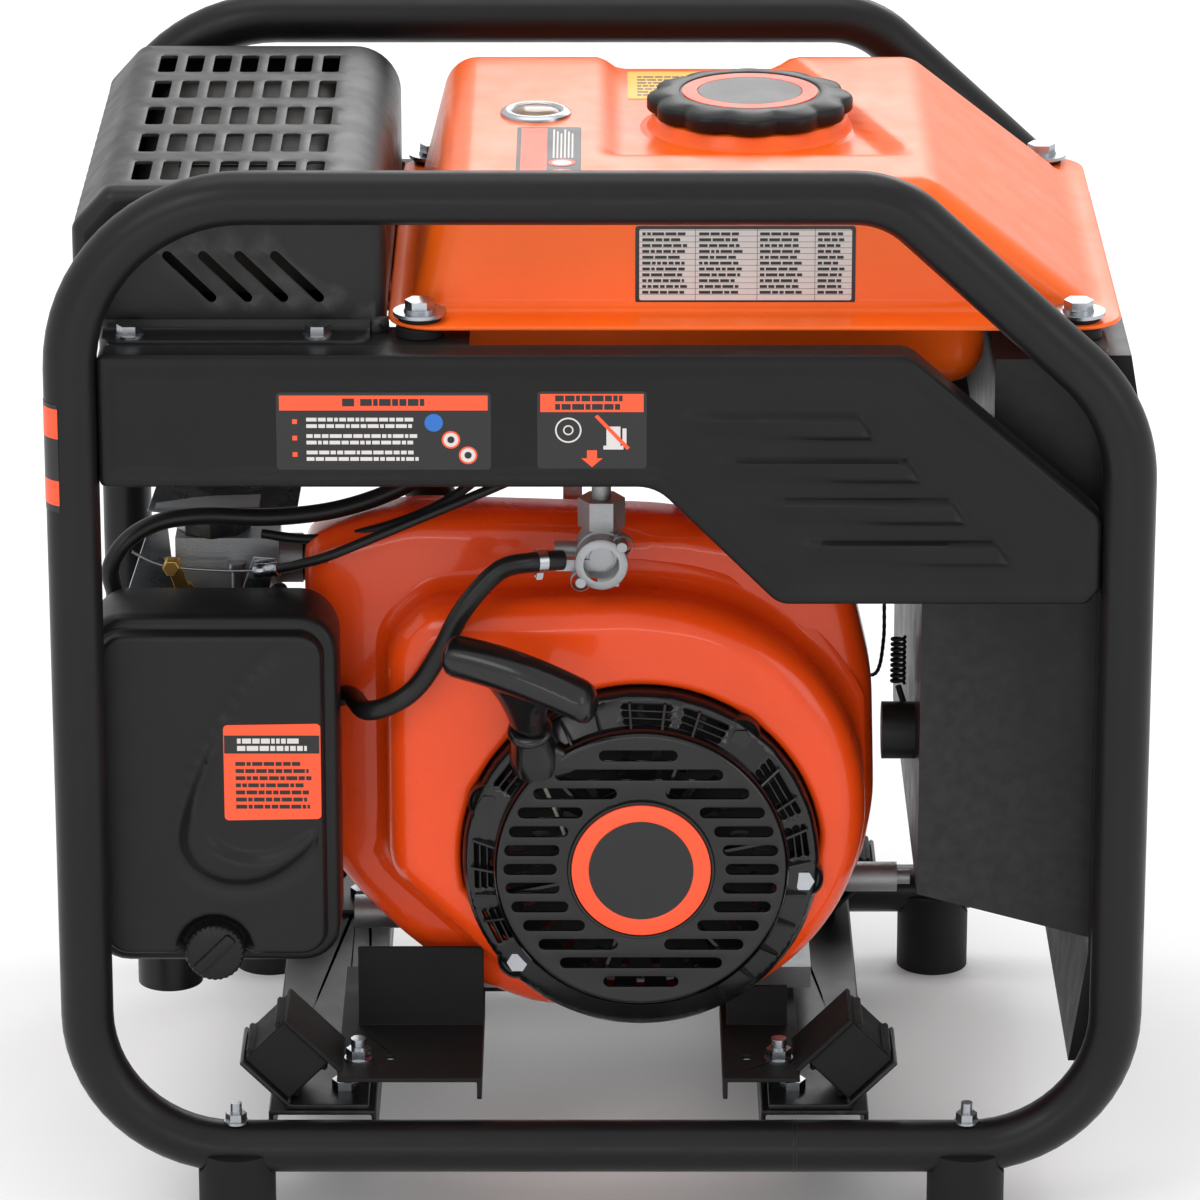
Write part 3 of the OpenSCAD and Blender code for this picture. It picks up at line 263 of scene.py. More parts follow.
class Shape:
    """Collects points and faces of one or several solids."""

    def __init__(self):
        self.v, self.f = [], []

    def add(self, verts, faces):
        base = len(self.v)
        self.v += [tuple(v) for v in verts]
        self.f += [[base + i for i in f] for f in faces]
        return self

    def piece(self, name, mat, body="frame", **kw):
        weld = kw.pop("weld", 0.01)
        fix = kw.pop("fix_normals", True)
        return link_piece(name, mesh_from(name, self.v, self.f, weld, fix), mat, body, **kw)


def solid(*skins):
    """One shape from (points, faces) skins, as loft, lathe and sweep give them."""
    shape = Shape()
    for verts, faces in skins:
        shape.add(verts, faces)
    return shape


def loft(loops, ends=True, wrap=True):
    """Skins a list of equally long loops of points."""
    n = len(loops[0])
    verts = [p for loop in loops for p in loop]
    faces = []
    for i in range(len(loops) - 1):
        for j in range(n if wrap else n - 1):
            k = (j + 1) % n
            faces.append([i * n + j, i * n + k, (i + 1) * n + k, (i + 1) * n + j])
    if ends:
        faces.append(list(range(n))[::-1])
        faces.append([(len(loops) - 1) * n + j for j in range(n)])
    return verts, faces


def slab(outline, start, end, axis="y"):
    """A flat outline pushed along an axis."""
    spots = {"x": lambda p, d: (d, p[0], p[1]), "y": lambda p, d: (p[0], d, p[1]),
             "z": lambda p, d: (p[0], p[1], d)}
    return loft([[spots[axis](p, d) for p in outline] for d in (start, end)])


def blob_ring(centre, u, v, a, b, power, n=28, b_low=None):
    """Ring between an ellipse and a rectangle: half width a along u, b along v, b_low below."""
    ring = []
    for k in range(n):
        c, s = cos(TAU * k / n), sin(TAU * k / n)
        high = b if s > 0 or b_low is None else b_low
        ring.append(centre + u * a * copysign(abs(c) ** power, c)
                    + v * high * copysign(abs(s) ** power, s))
    return ring


def frame_at(axis):
    """Two directions square to an axis."""
    a = Vector(axis).normalized()
    ref = Vector((0, 0, 1)) if abs(a.z) < 0.9 else Vector((1, 0, 0))
    u = a.cross(ref).normalized()
    return a, u, a.cross(u)


def lathe(profile, centre, axis, seg=64, radius_at=None, ends=True):
    """Turns a profile of (radius, distance along axis) round an axis."""
    a, u, v = frame_at(axis)
    c = Vector(centre)
    loops = []
    for r, h in profile:
        loop = []
        for k in range(seg):
            t = TAU * k / seg
            reach = radius_at(r, h, t) if radius_at else r
            loop.append(c + a * h + (u * cos(t) + v * sin(t)) * reach)
        loops.append(loop)
    return loft(loops, ends)


def turned(profile, centre, axis, seg):
    """An open skin turned round an axis, as a shape."""
    return solid(lathe(profile, centre, axis, seg, ends=False))


def smooth_curve(points, k):
    """Points along a smooth curve through the given ones."""
    p = [Vector(q) for q in points]
    n, out = len(p), []
    for i in range(n - 1):
        a, b, c, d = p[max(i - 1, 0)], p[i], p[i + 1], p[min(i + 2, n - 1)]
        for j in range(k):
            t = j / k
            out.append(0.5 * (2 * b + (c - a) * t + (2 * a - 5 * b + 4 * c - d) * t * t
                              + (3 * b - a - 3 * c + d) * t ** 3))
    out.append(p[-1])
    return out


def sweep(points, radius, seg=16, closed=False, radius_at=None):
    """Tube along points, its rings turned as little as possible."""
    pts = [Vector(p) for p in points]
    n = len(pts)
    heading = []
    for i in range(n):
        a = pts[i - 1] if closed or i else pts[0]
        b = pts[(i + 1) % n] if closed or i < n - 1 else pts[-1]
        heading.append((b - a).normalized())
    _, u, _ = frame_at(heading[0])
    loops = []
    for i in range(n):
        if i:
            u = (u - heading[i] * u.dot(heading[i])).normalized()
        v = heading[i].cross(u)
        r = radius_at(i / (n - 1)) if radius_at else radius
        loops.append([pts[i] + (u * cos(TAU * k / seg)
                                + v * sin(TAU * k / seg)) * r for k in range(seg)])
    if closed:
        loops.append(loops[0])
    return loft(loops, not closed)


def arc(cx, cz, r, a0, a1, n):
    """Points in the XZ plane on an arc, angles in degrees."""
    return [(cx + r * cos(radians(a0 + (a1 - a0) * i / n)),
             cz + r * sin(radians(a0 + (a1 - a0) * i / n))) for i in range(n + 1)]


def rounded(points, radii, seg=6, step=9.0):
    """Outline with rounded corners: list of (point, outward normal) for a clockwise polygon."""
    n = len(points)
    radii = radii if isinstance(radii, (list, tuple)) else [radii] * n
    out = []
    for i in range(n):
        a, b, c = (Vector(points[(i + k) % n]) for k in (-1, 0, 1))
        d0, d1 = (b - a).normalized(), (c - b).normalized()
        n0, n1 = Vector((-d0.y, d0.x)), Vector((-d1.y, d1.x))
        turn = atan2(d0.x * d1.y - d0.y * d1.x, d0.dot(d1))
        r = radii[i]
        if abs(turn) < 1e-3 or r <= 0:
            out += [(b, (n0 + n1).normalized())]
            continue
        cut = r * tan(abs(turn) / 2)
        side = 1 if turn < 0 else -1
        centre = b - d0 * cut - n0 * r * side
        for k in range(seg + 1):
            t = turn * k / seg
            m = Vector((n0.x * cos(t) - n0.y * sin(t), n0.x * sin(t) + n0.y * cos(t)))
            out.append((centre + m * r * side, m))
    dense = []
    for i, (p, m) in enumerate(out):
        q, mq = out[(i + 1) % len(out)]
        dense.append((p, m))
        gap = (q - p).length
        if gap > step * 1.5:
            k = int(gap / step)
            dense += [(p.lerp(q, j / (k + 1)), m.lerp(mq, j / (k + 1)).normalized())
                      for j in range(1, k + 1)]
    return dense


def inside_points(outline, holes, spacing, margin):
    """Staggered grid points inside an outline and clear of its edge and of the holes."""
    poly = np.array([tuple(p) for p in outline])
    lo, hi = poly.min(0), poly.max(0)
    pts = []
    rows = int((hi[1] - lo[1]) / (spacing * 0.866)) + 1
    for i in range(rows):
        z = lo[1] + (i + 0.5) * spacing * 0.866
        x = lo[0] + (0.25 if i % 2 else 0.75) * spacing
        while x < hi[0]:
            pts.append((x, z))
            x += spacing
    pts = np.array(pts)
    keep = in_polygon(pts, poly) & (edge_distance(pts, poly) > margin)
    for h in holes:
        h = np.array([tuple(p) for p in h])
        keep &= ~in_polygon(pts, h) & (edge_distance(pts, h) > margin * 0.6)
    return [tuple(p) for p in pts[keep]]


def in_polygon(pts, poly):
    """Which of the points lie inside a polygon."""
    x, z = pts[:, 0][:, None], pts[:, 1][:, None]
    a, b = poly, np.roll(poly, -1, 0)
    cross = ((a[:, 1] > z) != (b[:, 1] > z)) & (
        x < (b[:, 0] - a[:, 0]) * (z - a[:, 1]) / (b[:, 1] - a[:, 1] + 1e-12) + a[:, 0])
    return cross.sum(1) % 2 == 1


def edge_distance(pts, poly):
    """Distance of each point to the nearest edge of a polygon."""
    a, b = poly, np.roll(poly, -1, 0)
    d = b - a
    rel = pts[:, None, :] - a[None]
    t = np.clip((rel * d).sum(2) / ((d * d).sum(1) + 1e-12), 0, 1)
    return np.sqrt(((rel - t[..., None] * d) ** 2).sum(2).min(1))


def depth_inside(x, z, poly):
    """Distance from one point to the edge of a polygon, negative outside it."""
    p = np.array([[x, z]])
    d = edge_distance(p, poly)[0]
    return d if in_polygon(p, poly)[0] else -d


def fill(outline, holes=(), extra=()):
    """Triangles inside an outline and outside its holes, with extra points inside."""
    pts, edges = [], []
    for loop in [outline, *holes]:
        base = len(pts)
        pts += [Vector(p) for p in loop]
        edges += [(base + i, base + (i + 1) % len(loop)) for i in range(len(loop))]
    pts += [Vector(p) for p in extra]
    got = geometry.delaunay_2d_cdt(pts, edges, [], 1, 1e-5)
    verts, tris = [tuple(p) for p in got[0]], [list(f) for f in got[2]]
    mid = np.array([np.mean([verts[i] for i in f], axis=0) for f in tris])
    keep = in_polygon(mid, np.array([tuple(p) for p in outline]))
    for hole in holes:
        keep &= ~in_polygon(mid, np.array([tuple(p) for p in hole]))
    return verts, [f for f, k in zip(tris, keep) if k]


def face_skin(outline, holes, spacing, margin, place):
    """Even triangles inside an outline, each point put in space by place(x, z)."""
    pts, tris = fill(outline, holes, inside_points(outline, holes, spacing, margin))
    return [place(x, z) for x, z in pts], tris


def offset(outline, d):
    """The outline moved inward by d."""
    return [p - m * d for p, m in outline]


def quarter_turn(n):
    """Steps of a rounded corner from 0 to 90 degrees, as (1 - sine, 1 - cosine)."""
    angles = [pi / 2 * k / n for k in range(n + 1)]
    return [(1 - sin(t), 1 - cos(t)) for t in angles]


def pressed(outline, y_face, depth, fold, height, holes=(), spacing=6.0, fold_seg=5):
    """A pressed sheet part seen from -Y: rim, rounded fold, and a face raised by height(x, z)."""
    loops = [[(p.x, y_face + depth, p.y) for p, _ in outline]]
    for back, inset in quarter_turn(fold_seg):
        loops.append([(p.x, y_face + fold * back - height(p.x, p.y), p.y)
                      for p in offset(outline, fold * inset)])
    return solid(loft(loops, ends=False),
                 face_skin(offset(outline, fold), holes, spacing, spacing * 0.45,
                           lambda x, z: (x, y_face - height(x, z), z)))


def run_lengths(profile):
    """Distance along a profile to each of its points."""
    run = [0.0]
    for a, b in zip(profile, profile[1:]):
        run.append(run[-1] + hypot(b[0] - a[0], b[1] - a[1]))
    return run


def point_along(profile, run, s):
    """Point at the distance s along a profile."""
    for a, b, start, end in zip(profile, profile[1:], run, run[1:]):
        if s <= end + 1e-6:
            t = (s - start) / (end - start)
            return a[0] + (b[0] - a[0]) * t, a[1] + (b[1] - a[1]) * t
    return tuple(profile[-1])


def even_normals(obj, weight):
    """Shading normals that follow the large faces."""
    m = obj.modifiers.new("even_normals", "WEIGHTED_NORMAL")
    m.weight, m.keep_sharp = weight, True


def solidify(obj, thickness):
    """Sheet thickness in mm behind the modelled face."""
    m = obj.modifiers.new("thickness", "SOLIDIFY")
    m.thickness, m.offset = thickness * MM, -1.0
    even_normals(obj, 60)
    return obj


def bevel(obj, width, seg=2, angle=35, harden=True):
    """Rounded edges, the width in mm."""
    m = obj.modifiers.new("edge", "BEVEL")
    m.width, m.segments = width * MM, seg
    m.limit_method, m.angle_limit = "ANGLE", radians(angle)
    m.harden_normals = harden
    return obj


def smoothstep(t):
    """Soft ramp from 0 to 1."""
    t = max(0.0, min(1.0, t))
    return t * t * (3 - 2 * t)


def slot_outline(cx, cz, half, r, seg=6, tilt=0.0):
    """Long hole with round ends, as a loop of points."""
    pts = []
    for side, a0 in ((1, -90), (-1, 90)):
        for i in range(seg + 1):
            a = radians(a0 + 180 * i / seg)
            pts.append((side * half + r * cos(a), r * sin(a)))
    c, s = cos(tilt), sin(tilt)
    return [(cx + x * c - z * s, cz + x * s + z * c) for x, z in pts]


def box_loop(x0, x1, z0, z1, r, seg=4, step=1e9):
    """Rounded rectangle as a loop of points."""
    corners = [(x0, z1), (x1, z1), (x1, z0), (x0, z0)]
    return [tuple(p) for p, _ in rounded(corners, r, seg, step)]


# ------------------------------------------------ camera, floor and light
CAMERA_AT = (-0.0007, -3.3134, 1.4400)
CAMERA_PITCH = 19.26
LENS = 197.8

cam_data = bpy.data.cameras.new("camera")
cam_data.lens, cam_data.sensor_width = LENS, 36.0
cam_data.clip_start, cam_data.clip_end = 0.1, 50.0
camera = bpy.data.objects.new("camera", cam_data)
camera.location = CAMERA_AT
camera.rotation_euler = (radians(90 - CAMERA_PITCH), 0, 0)
bpy.context.scene.collection.objects.link(camera)
bpy.context.scene.camera = camera


def area_light(name, at, target, size, power):
    """Rectangular light turned towards a target."""
    data = bpy.data.lights.new(name, "AREA")
    data.shape, data.size, data.size_y = "RECTANGLE", size[0], size[1]
    data.energy = power
    obj = bpy.data.objects.new(name, data)
    obj.location = at
    obj.rotation_euler = (Vector(target) - Vector(at)).to_track_quat("-Z", "Y").to_euler()
    bpy.context.scene.collection.objects.link(obj)


def studio():
    """Pale seamless floor and backdrop with large soft lights."""
    world = bpy.data.worlds.new("studio")
    world.use_nodes = True
    sky = world.node_tree.nodes["Background"].inputs
    sky["Color"].default_value = (1.0, 1.0, 1.0, 1.0)
    sky["Strength"].default_value = 0.95
    bpy.context.scene.world = world
    n = Nodes("studio_floor")
    n.link(n.ramp(n.noise(0.6, 2.0), (0.93, 0.93, 0.93, 1), (0.955, 0.955, 0.955, 1)),
           n.bsdf.inputs["Base Color"])
    n.set(Roughness=0.9, Specular_IOR_Level=0.1)
    mesh = bpy.data.meshes.new("studio_floor")
    side = 9.0
    mesh.from_pydata([(-side, -side, 0), (side, -side, 0), (side, side, 0), (-side, side, 0)],
                     [], [[0, 1, 2, 3]])
    mesh.materials.append(n.mat)
    floor = bpy.data.objects.new("studio_floor", mesh)
    bpy.context.scene.collection.objects.link(floor)
    for name, at, aim_z, size, power in (
            ("key", (-1.6, -2.4, 2.6), 0.3, (1.6, 1.2), 17),
            ("fill", (2.3, -1.9, 1.3), 0.3, (1.2, 1.6), 8),
            ("top", (0.0, 0.3, 2.8), 0.3, (2.2, 1.4), 13),
            ("back", (0.6, 2.6, 1.8), 0.35, (1.8, 1.2), 20),
            ("front_strip", (-0.3, -2.8, 0.5), 0.25, (1.8, 0.25), 5)):
        area_light(name, at, (0, 0, aim_z), size, power)


studio()
bpy.context.scene.view_settings.view_transform = "Standard"

# ------------------------------------------------ CAD nodes that stay
NODE_EDGES = {
    # material: bevel width in mm of each node
    "powder_black": {"base_rails": 1.0, "mount_brackets": 0.8, "alternator_cover": 1.2},
    "rubber": {"rubber_feet": 1.2, "rubber_mounts": 1.2, "mount_arms": 0.8, "tank_grommets": 0.8,
               "plug_cap": 1.5},
    "zinc": {"frame_bolts": 0.35, "tank_bolts": 0.35, "cap_insert": 0.5, "flange_bolts": 0.35,
             "heat_baffle": 0.3},
    "alloy_cast": {"fuel_valve": 0.5, "crankcase": 1.2, "cylinder_head": 0.6, "flywheel": 0.5,
                   "alternator_housing": 1.0, "carburettor": 0.8},
    "steel_bare": {"fuel_valve_lever": 0.5, "crankshaft": 0.5, "alternator_stator": 0.0},
    "exhaust_steel": {"muffler": 1.0, "exhaust_pipe": 0.8},
    "gloss_black": {"valve_cover": 1.5, "voltmeter": 0.8, "choke_knob": 1.2},
    "ceramic": {"spark_plug": 0.4},
    "moulded_black": {"recoil_reel": 0.5, "air_box": 1.2, "intake_pipe": 1.0, "outlet_sockets": 0.6,
                      "socket_flap_front": 0.6, "socket_flap_rear": 0.6, "control_panel": 0},
    "copper": {"alternator_rotor": 0.6},
    "foam": {"air_filter": 1.5},
    "zinc_yellow": {"choke_lever": 0.3},
    "sheet_black": {"control_box": 1.2},
    "dial_white": {"breaker_button": 0.6},
    "label_orange": {"engine_switch": 0.8},
    "brass": {"ground_terminal": 0.3},
}


def dress_node(name, mat, width):
    """Material, welded corners and softened edges for a CAD node that keeps its shape."""
    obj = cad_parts[name]
    mesh = obj.data
    mesh.materials.clear()
    mesh.materials.append(MATS[mat])
    if "custom_normal" in mesh.attributes:
        mesh.attributes.remove(mesh.attributes["custom_normal"])
    mesh.shade_smooth()
    mesh.set_sharp_from_angle(angle=radians(28))
    if width > 0:
        obj.modifiers.new("weld", "WELD").merge_threshold = 0.00001
        bevel(obj, width, 2, 32)
        even_normals(obj, 90)


for node_mat, nodes_of_mat in NODE_EDGES.items():
    for node_name, edge_width in nodes_of_mat.items():
        dress_node(node_name, node_mat, edge_width)

# ------------------------------------------------ frame tube
TUBE_R = 13.5
HOOP_Y = 180.0
HOOP_HALF_W = 264.5
HOOP_LOW = 45.5
HOOP_TOP = 555.2
LOW_BEND = 75  # bend radii of the tube centreline
LEFT_BEND = 88
SHOULDER_BEND = 48
RIGHT_BEND = 80
HOOP_SLOPE = 42.68  # degrees


def hoop_path():
    """Centreline of one hoop in XZ, clockwise from the lower weld seam."""
    pts = []
    low_x, low_z = HOOP_HALF_W - LOW_BEND, HOOP_LOW + LOW_BEND
    pts += arc(-low_x, low_z, LOW_BEND, 270, 180, 14)
    pts += [(-HOOP_HALF_W, z) for z in (180, 250, 330, 400)]
    pts += arc(LEFT_BEND - HOOP_HALF_W, HOOP_TOP - LEFT_BEND, LEFT_BEND, 180, 90, 16)
    pts += [(x, HOOP_TOP) for x in (-110, -50, 10, 70)]
    pts += arc(124.95, HOOP_TOP - SHOULDER_BEND, SHOULDER_BEND, 90, 90 - HOOP_SLOPE, 9)
    pts += [(184, 518.1), (212, 492.3)]
    pts += arc(HOOP_HALF_W - RIGHT_BEND, 408.75, RIGHT_BEND, 90 - HOOP_SLOPE, 0, 12)
    pts += [(HOOP_HALF_W, z) for z in (340, 270, 200)]
    pts += arc(low_x, low_z, LOW_BEND, 0, -90, 14)
    pts += [(x, HOOP_LOW) for x in (130, 101, 99, 60, 0, -60, -120)]
    return pts


def hoops():
    """Two bent tube hoops, each with its butt weld and tank tab."""
    for name, side in (("front_hoop", -1), ("rear_hoop", 1)):
        path = [(x, side * HOOP_Y, z) for x, z in hoop_path()]
        # butt weld in the lower run, and a welded tab under the right tank bolt
        bead = [(TUBE_R - 0.3, -1.6), (TUBE_R + 0.25, -0.8), (TUBE_R - 0.15, 0),
                (TUBE_R + 0.25, 0.8), (TUBE_R - 0.3, 1.6)]
        y0, y1 = sorted((side * 136.0, side * 168.4))
        solid(sweep(path, TUBE_R, 40, closed=True),
              lathe(bead, (100, side * HOOP_Y, HOOP_LOW), RIGHT, 40, ends=False),
              slab(box_loop(223, 253, y0, y1, 3, 3, 9.0), 471.5, 474, "z")).piece(
            "tube_" + name, "powder_black", replaces=[name], sharp=50)


# ------------------------------------------------ side panels
PANEL_PTS = [(-251, 475), (153, 475), (251, 390), (251, 352),
             (244, 344), (89, 344), (27, 406), (-251, 406)]
PANEL_CORNERS = [4, 16, 12, 5, 5, 14, 22, 4]
PANEL_FACE = -186.0
RIBS = [  # x at the left, x of the upper right corner, upper z, lower z
    (45, 127, 444.5, 431.5), (61, 151, 421.4, 409.0), (82, 174, 399.7, 387.0),
    (104, 197, 377.5, 364.7),
]


def rib_height(x, z):
    """Pressed ribs: crisp upper edge, lower edge that fades out to the left."""
    h = 0.0
    for x0, x1, zt, zb in RIBS:
        if not (zb - 3 < z < zt + 3 and x0 - 20 < x < x1 + 20):
            continue
        v = max(0.0, min(1.0, (zt - z) / (zt - zb)))
        deep = smoothstep((x - x0 - 25.0) / 50.0)
        body = (1 - v) * (1 - deep) + deep
        right = x1 + (zt - z) * 0.8
        h += 3.6 * body * smoothstep((zt + 0.6 - z) / 1.9) * smoothstep((z - zb + 1.2) / 4.5) \
            * smoothstep((x - x0 + 8.0) / 22.0) * smoothstep((right + 2.0 - x) / 4.0)
    return h


def panel_height(x, z):
    """Flat field slightly sunk inside a soft border, plus the ribs."""
    edge = abs(depth_inside(x, z, PANEL_POLY))
    return rib_height(x, z) - 1.3 * smoothstep((edge - 5.0) / 6.0)


PANEL_POLY = np.array(PANEL_PTS, float)


def side_panels():
    """Two ribbed side panels, mirrored, with their upper tabs."""
    outline = rounded(PANEL_PTS, PANEL_CORNERS, 6, 7.0)
    for name, side in (("front_panel", 1), ("rear_panel", -1)):
        shape = pressed(outline, PANEL_FACE, 20.0, 4.0, panel_height, spacing=2.0)
        if side < 0:
            shape.v = [(x, -y, z) for x, y, z in shape.v]
        solidify(shape.piece("sheet_" + name, "sheet_black", replaces=[name], sharp=50), 2.0)
        y0, y1 = sorted((side * -166.5, side * -134.0))
        tab = solid(slab(box_loop(-247, -66, y0, y1, 5, 4, 9.0), 472.6, 475, "z"))
        bevel(tab.piece("tab_" + name, "sheet_black"), 0.6)


# ------------------------------------------------ muffler guard
GUARD = [(-265, 476), (-265, 530), (-247, 550), (-108, 550), (-108, 476)]
GUARD_CORNERS = [0.001, 9, 9, 25, 0.001]
GUARD_Y = 145.0
GUARD_END_LOW = 482  # where the end face meets the bend of the foot
GUARD_FOOT = 476.6


def guard_profile():
    """Open profile of the guard from its left foot over the top to the right foot."""
    ring = rounded(GUARD, GUARD_CORNERS, 10, 1e9)
    pts = [(p.x, p.y) for p, _ in ring]
    start = min(range(len(ring)), key=lambda i: (ring[i][0] - Vector(GUARD[0])).length)
    return [p for p in pts[start:] + pts[:start] if p[1] > GUARD[0][1] - 0.5]


def dense_profile(pts, step):
    """Profile with extra points on its long stretches."""
    out = []
    for (x0, z0), (x1, z1) in zip(pts, pts[1:]):
        k = max(1, int(hypot(x1 - x0, z1 - z0) / step))
        out += [(x0 + (x1 - x0) * i / k, z0 + (z1 - z0) * i / k) for i in range(k)]
    return out + [pts[-1]]


def guard_top(prof, run, y_flat):
    """Sheet over the top, its border on the profile's own points, with seven rows of slots."""
    total = run[-1]
    flat_top = {}
    for s in np.arange(0, total, 0.25):
        x, z = point_along(prof, run, s)
        if z > GUARD[2][1] - 0.1:
            flat_top[round(x, 1)] = s
    across = np.linspace(-y_flat, y_flat, 40)[1:-1]
    border = [(s, -y_flat) for s in run] + [(total, y) for y in across]
    border += [(s, y_flat) for s in reversed(run)] + [(0.0, y) for y in reversed(across)]
    holes = []
    for i in range(7):
        s = flat_top[min(sorted(flat_top), key=lambda q: abs(q - (-231 + 14.5 * i)))]
        for j in range(5):
            y = -111 + 53 * j
            holes.append(box_loop(s - 4.6, s + 4.6, y - 17.5, y + 17.5, 2.2, 3))

    def wrap_over(s, y):
        x, z = point_along(prof, run, s)
        return x, y, z

    return face_skin(border, holes, 9.0, 3.0, wrap_over)


def guard_end(prof, inner, side, fold):
    """Folded edge, louvred end face and foot flange on one side."""
    loops = [[(p[0] + (q[0] - p[0]) * d, side * (GUARD_Y - fold * back), p[1] + (q[1] - p[1]) * d)
              for p, q in zip(prof, inner)] for back, d in quarter_turn(5)]
    end = inner + [(inner[-1][0], GUARD_END_LOW), (inner[0][0], GUARD_END_LOW)]
    cuts = [slot_outline(-206.3 + 18 * i, 504.3, 15.5, 2.5, 5, radians(-45)) for i in range(4)]
    # foot flange with a soft bend and cut corners
    bend = [(side * (GUARD_Y + d), z) for d, z in
            ((0, GUARD_END_LOW), (0.6, 479), (2.2, 477.2), (5, GUARD_FOOT))]
    x0, x1 = -250.0, -116.0
    cols = [x0, x0 + 3, x0 + 8, *np.linspace(x0 + 25, x1 - 25, 6), x1 - 8, x1 - 3, x1]
    cut = {0: 5.0, 1: 1.6, len(cols) - 2: 1.6, len(cols) - 1: 5.0}
    foot = [[(x, y, z) for x in cols] for y, z in bend]
    foot.append([(x, side * (GUARD_Y + 19 - cut.get(c, 0.0)), GUARD_FOOT) for c, x in enumerate(cols)])
    return (loft(loops, ends=False, wrap=False),
            face_skin(end, cuts, 9.0, 3.0, lambda x, z: (x, side * GUARD_Y, z)),
            loft(foot, ends=False, wrap=False))


def muffler_guard():
    """Bent sheet cover with a vented top, louvred end faces and two foot flanges."""
    fold = 7.0
    prof = dense_profile(guard_profile(), 7.0)
    inner = [guard_inner(prof, i, fold) for i in range(len(prof))]
    skins = [guard_top(prof, run_lengths(prof), GUARD_Y - fold)]
    for side in (-1, 1):
        skins += guard_end(prof, inner, side, fold)
    obj = solid(*skins).piece("guard_sheet", "guard_grey", replaces=["muffler_guard"], weld=0.05,
                              sharp=45)
    bevel(solidify(obj, 1.6), 0.4, 2, 60, harden=False)


def guard_inner(prof, i, d):
    """Profile point moved inward by d along the local normal."""
    a, b = prof[max(i - 1, 0)], prof[min(i + 1, len(prof) - 1)]
    tx, tz = b[0] - a[0], b[1] - a[1]
    k = hypot(tx, tz)
    return prof[i][0] + tz / k * d, prof[i][1] - tx / k * d


hoops()
side_panels()
muffler_guard()


# ------------------------------------------------ fuel tank
TANK_TOP = 549.0
TANK_Y = 117.0
TANK_ROUND = 18.0
CAP_X = 77.0
# x of the corner centres on the right and on the left
FLANGE = {1: 237.0, -1: -83.0}
WALL_FOOT = {1: 228.0, -1: -77.0}
WALL_TOP = {1: 160.0, -1: -66.0}
LOWER = {1: 176.0, -1: -70.0}


def tank_dip(x, y):
    """Depth of the pressed recess round the filler neck; it runs out through the rear edge."""
    right = 95.0 + (150.0 - 95.0) * (132.0 - y) / 192.0
    return 6.5 * (smoothstep((x + 2.0) / 13.0) * smoothstep((right + 7.0 - x) / 14.0)
                  * smoothstep((y + 80.0) / 22.0))


def tank_ring_normals():
    """Corner index and outward direction for one turn round a rounded rectangle."""
    seg = 8
    out = []
    for corner, (sx, sy) in enumerate(((1, 1), (-1, 1), (-1, -1), (1, -1))):
        for k in range(seg + 1):
            a = radians(90 * corner + 90 * k / seg)
            out.append((sx, sy, cos(a), sin(a)))
    return out


TANK_TURN = tank_ring_normals()


def dense_ring(ring, step):
    """Adds points along the long sides of a loop of 3-D points, the same count on each loop."""
    n = len(ring[0])
    extra = []
    for i in range(n):
        gap = max((Vector(r[(i + 1) % n]) - Vector(r[i])).length for r in ring)
        extra.append(max(0, int(gap / step)))
    out = []
    for r in ring:
        loop = []
        for i in range(n):
            a, b = Vector(r[i]), Vector(r[(i + 1) % n])
            loop += [tuple(a.lerp(b, j / (extra[i] + 1))) for j in range(extra[i] + 1)]
        out.append(loop)
    return out


def tank_ring(middle, half_y, off, z):
    """Loop round the tank, moved out by off from corner centres at middle[side] and half_y."""
    return [(middle[sx] + off * nx, sy * half_y + off * ny, z) for sx, sy, nx, ny in TANK_TURN]


def tank_wall():
    """Rings of wall and top rounding, tangent to each other on every side."""
    rows = [[] for _ in range(9)]
    for sx, sy, nx, ny in TANK_TURN:
        span = (WALL_FOOT[sx] - WALL_TOP[sx]) * nx + TANK_ROUND
        drop = 485.0 - (TANK_TOP - TANK_ROUND)
        start = atan2(drop, span) + acos(min(1.0, TANK_ROUND / hypot(drop, span)))
        for k, row in enumerate(rows):
            t = start + (pi / 2 - start) * k / 8
            out = TANK_ROUND * cos(t)
            row.append((WALL_TOP[sx] + out * nx, sy * TANK_Y + out * ny,
                        TANK_TOP - TANK_ROUND + TANK_ROUND * sin(t)))
    return rows


def dipped(p):
    """Lowers a point of the upper shell where the filler recess is pressed in."""
    return p[0], p[1], p[2] - tank_dip(p[0], p[1]) * smoothstep((p[2] - 505.0) / 40.0)


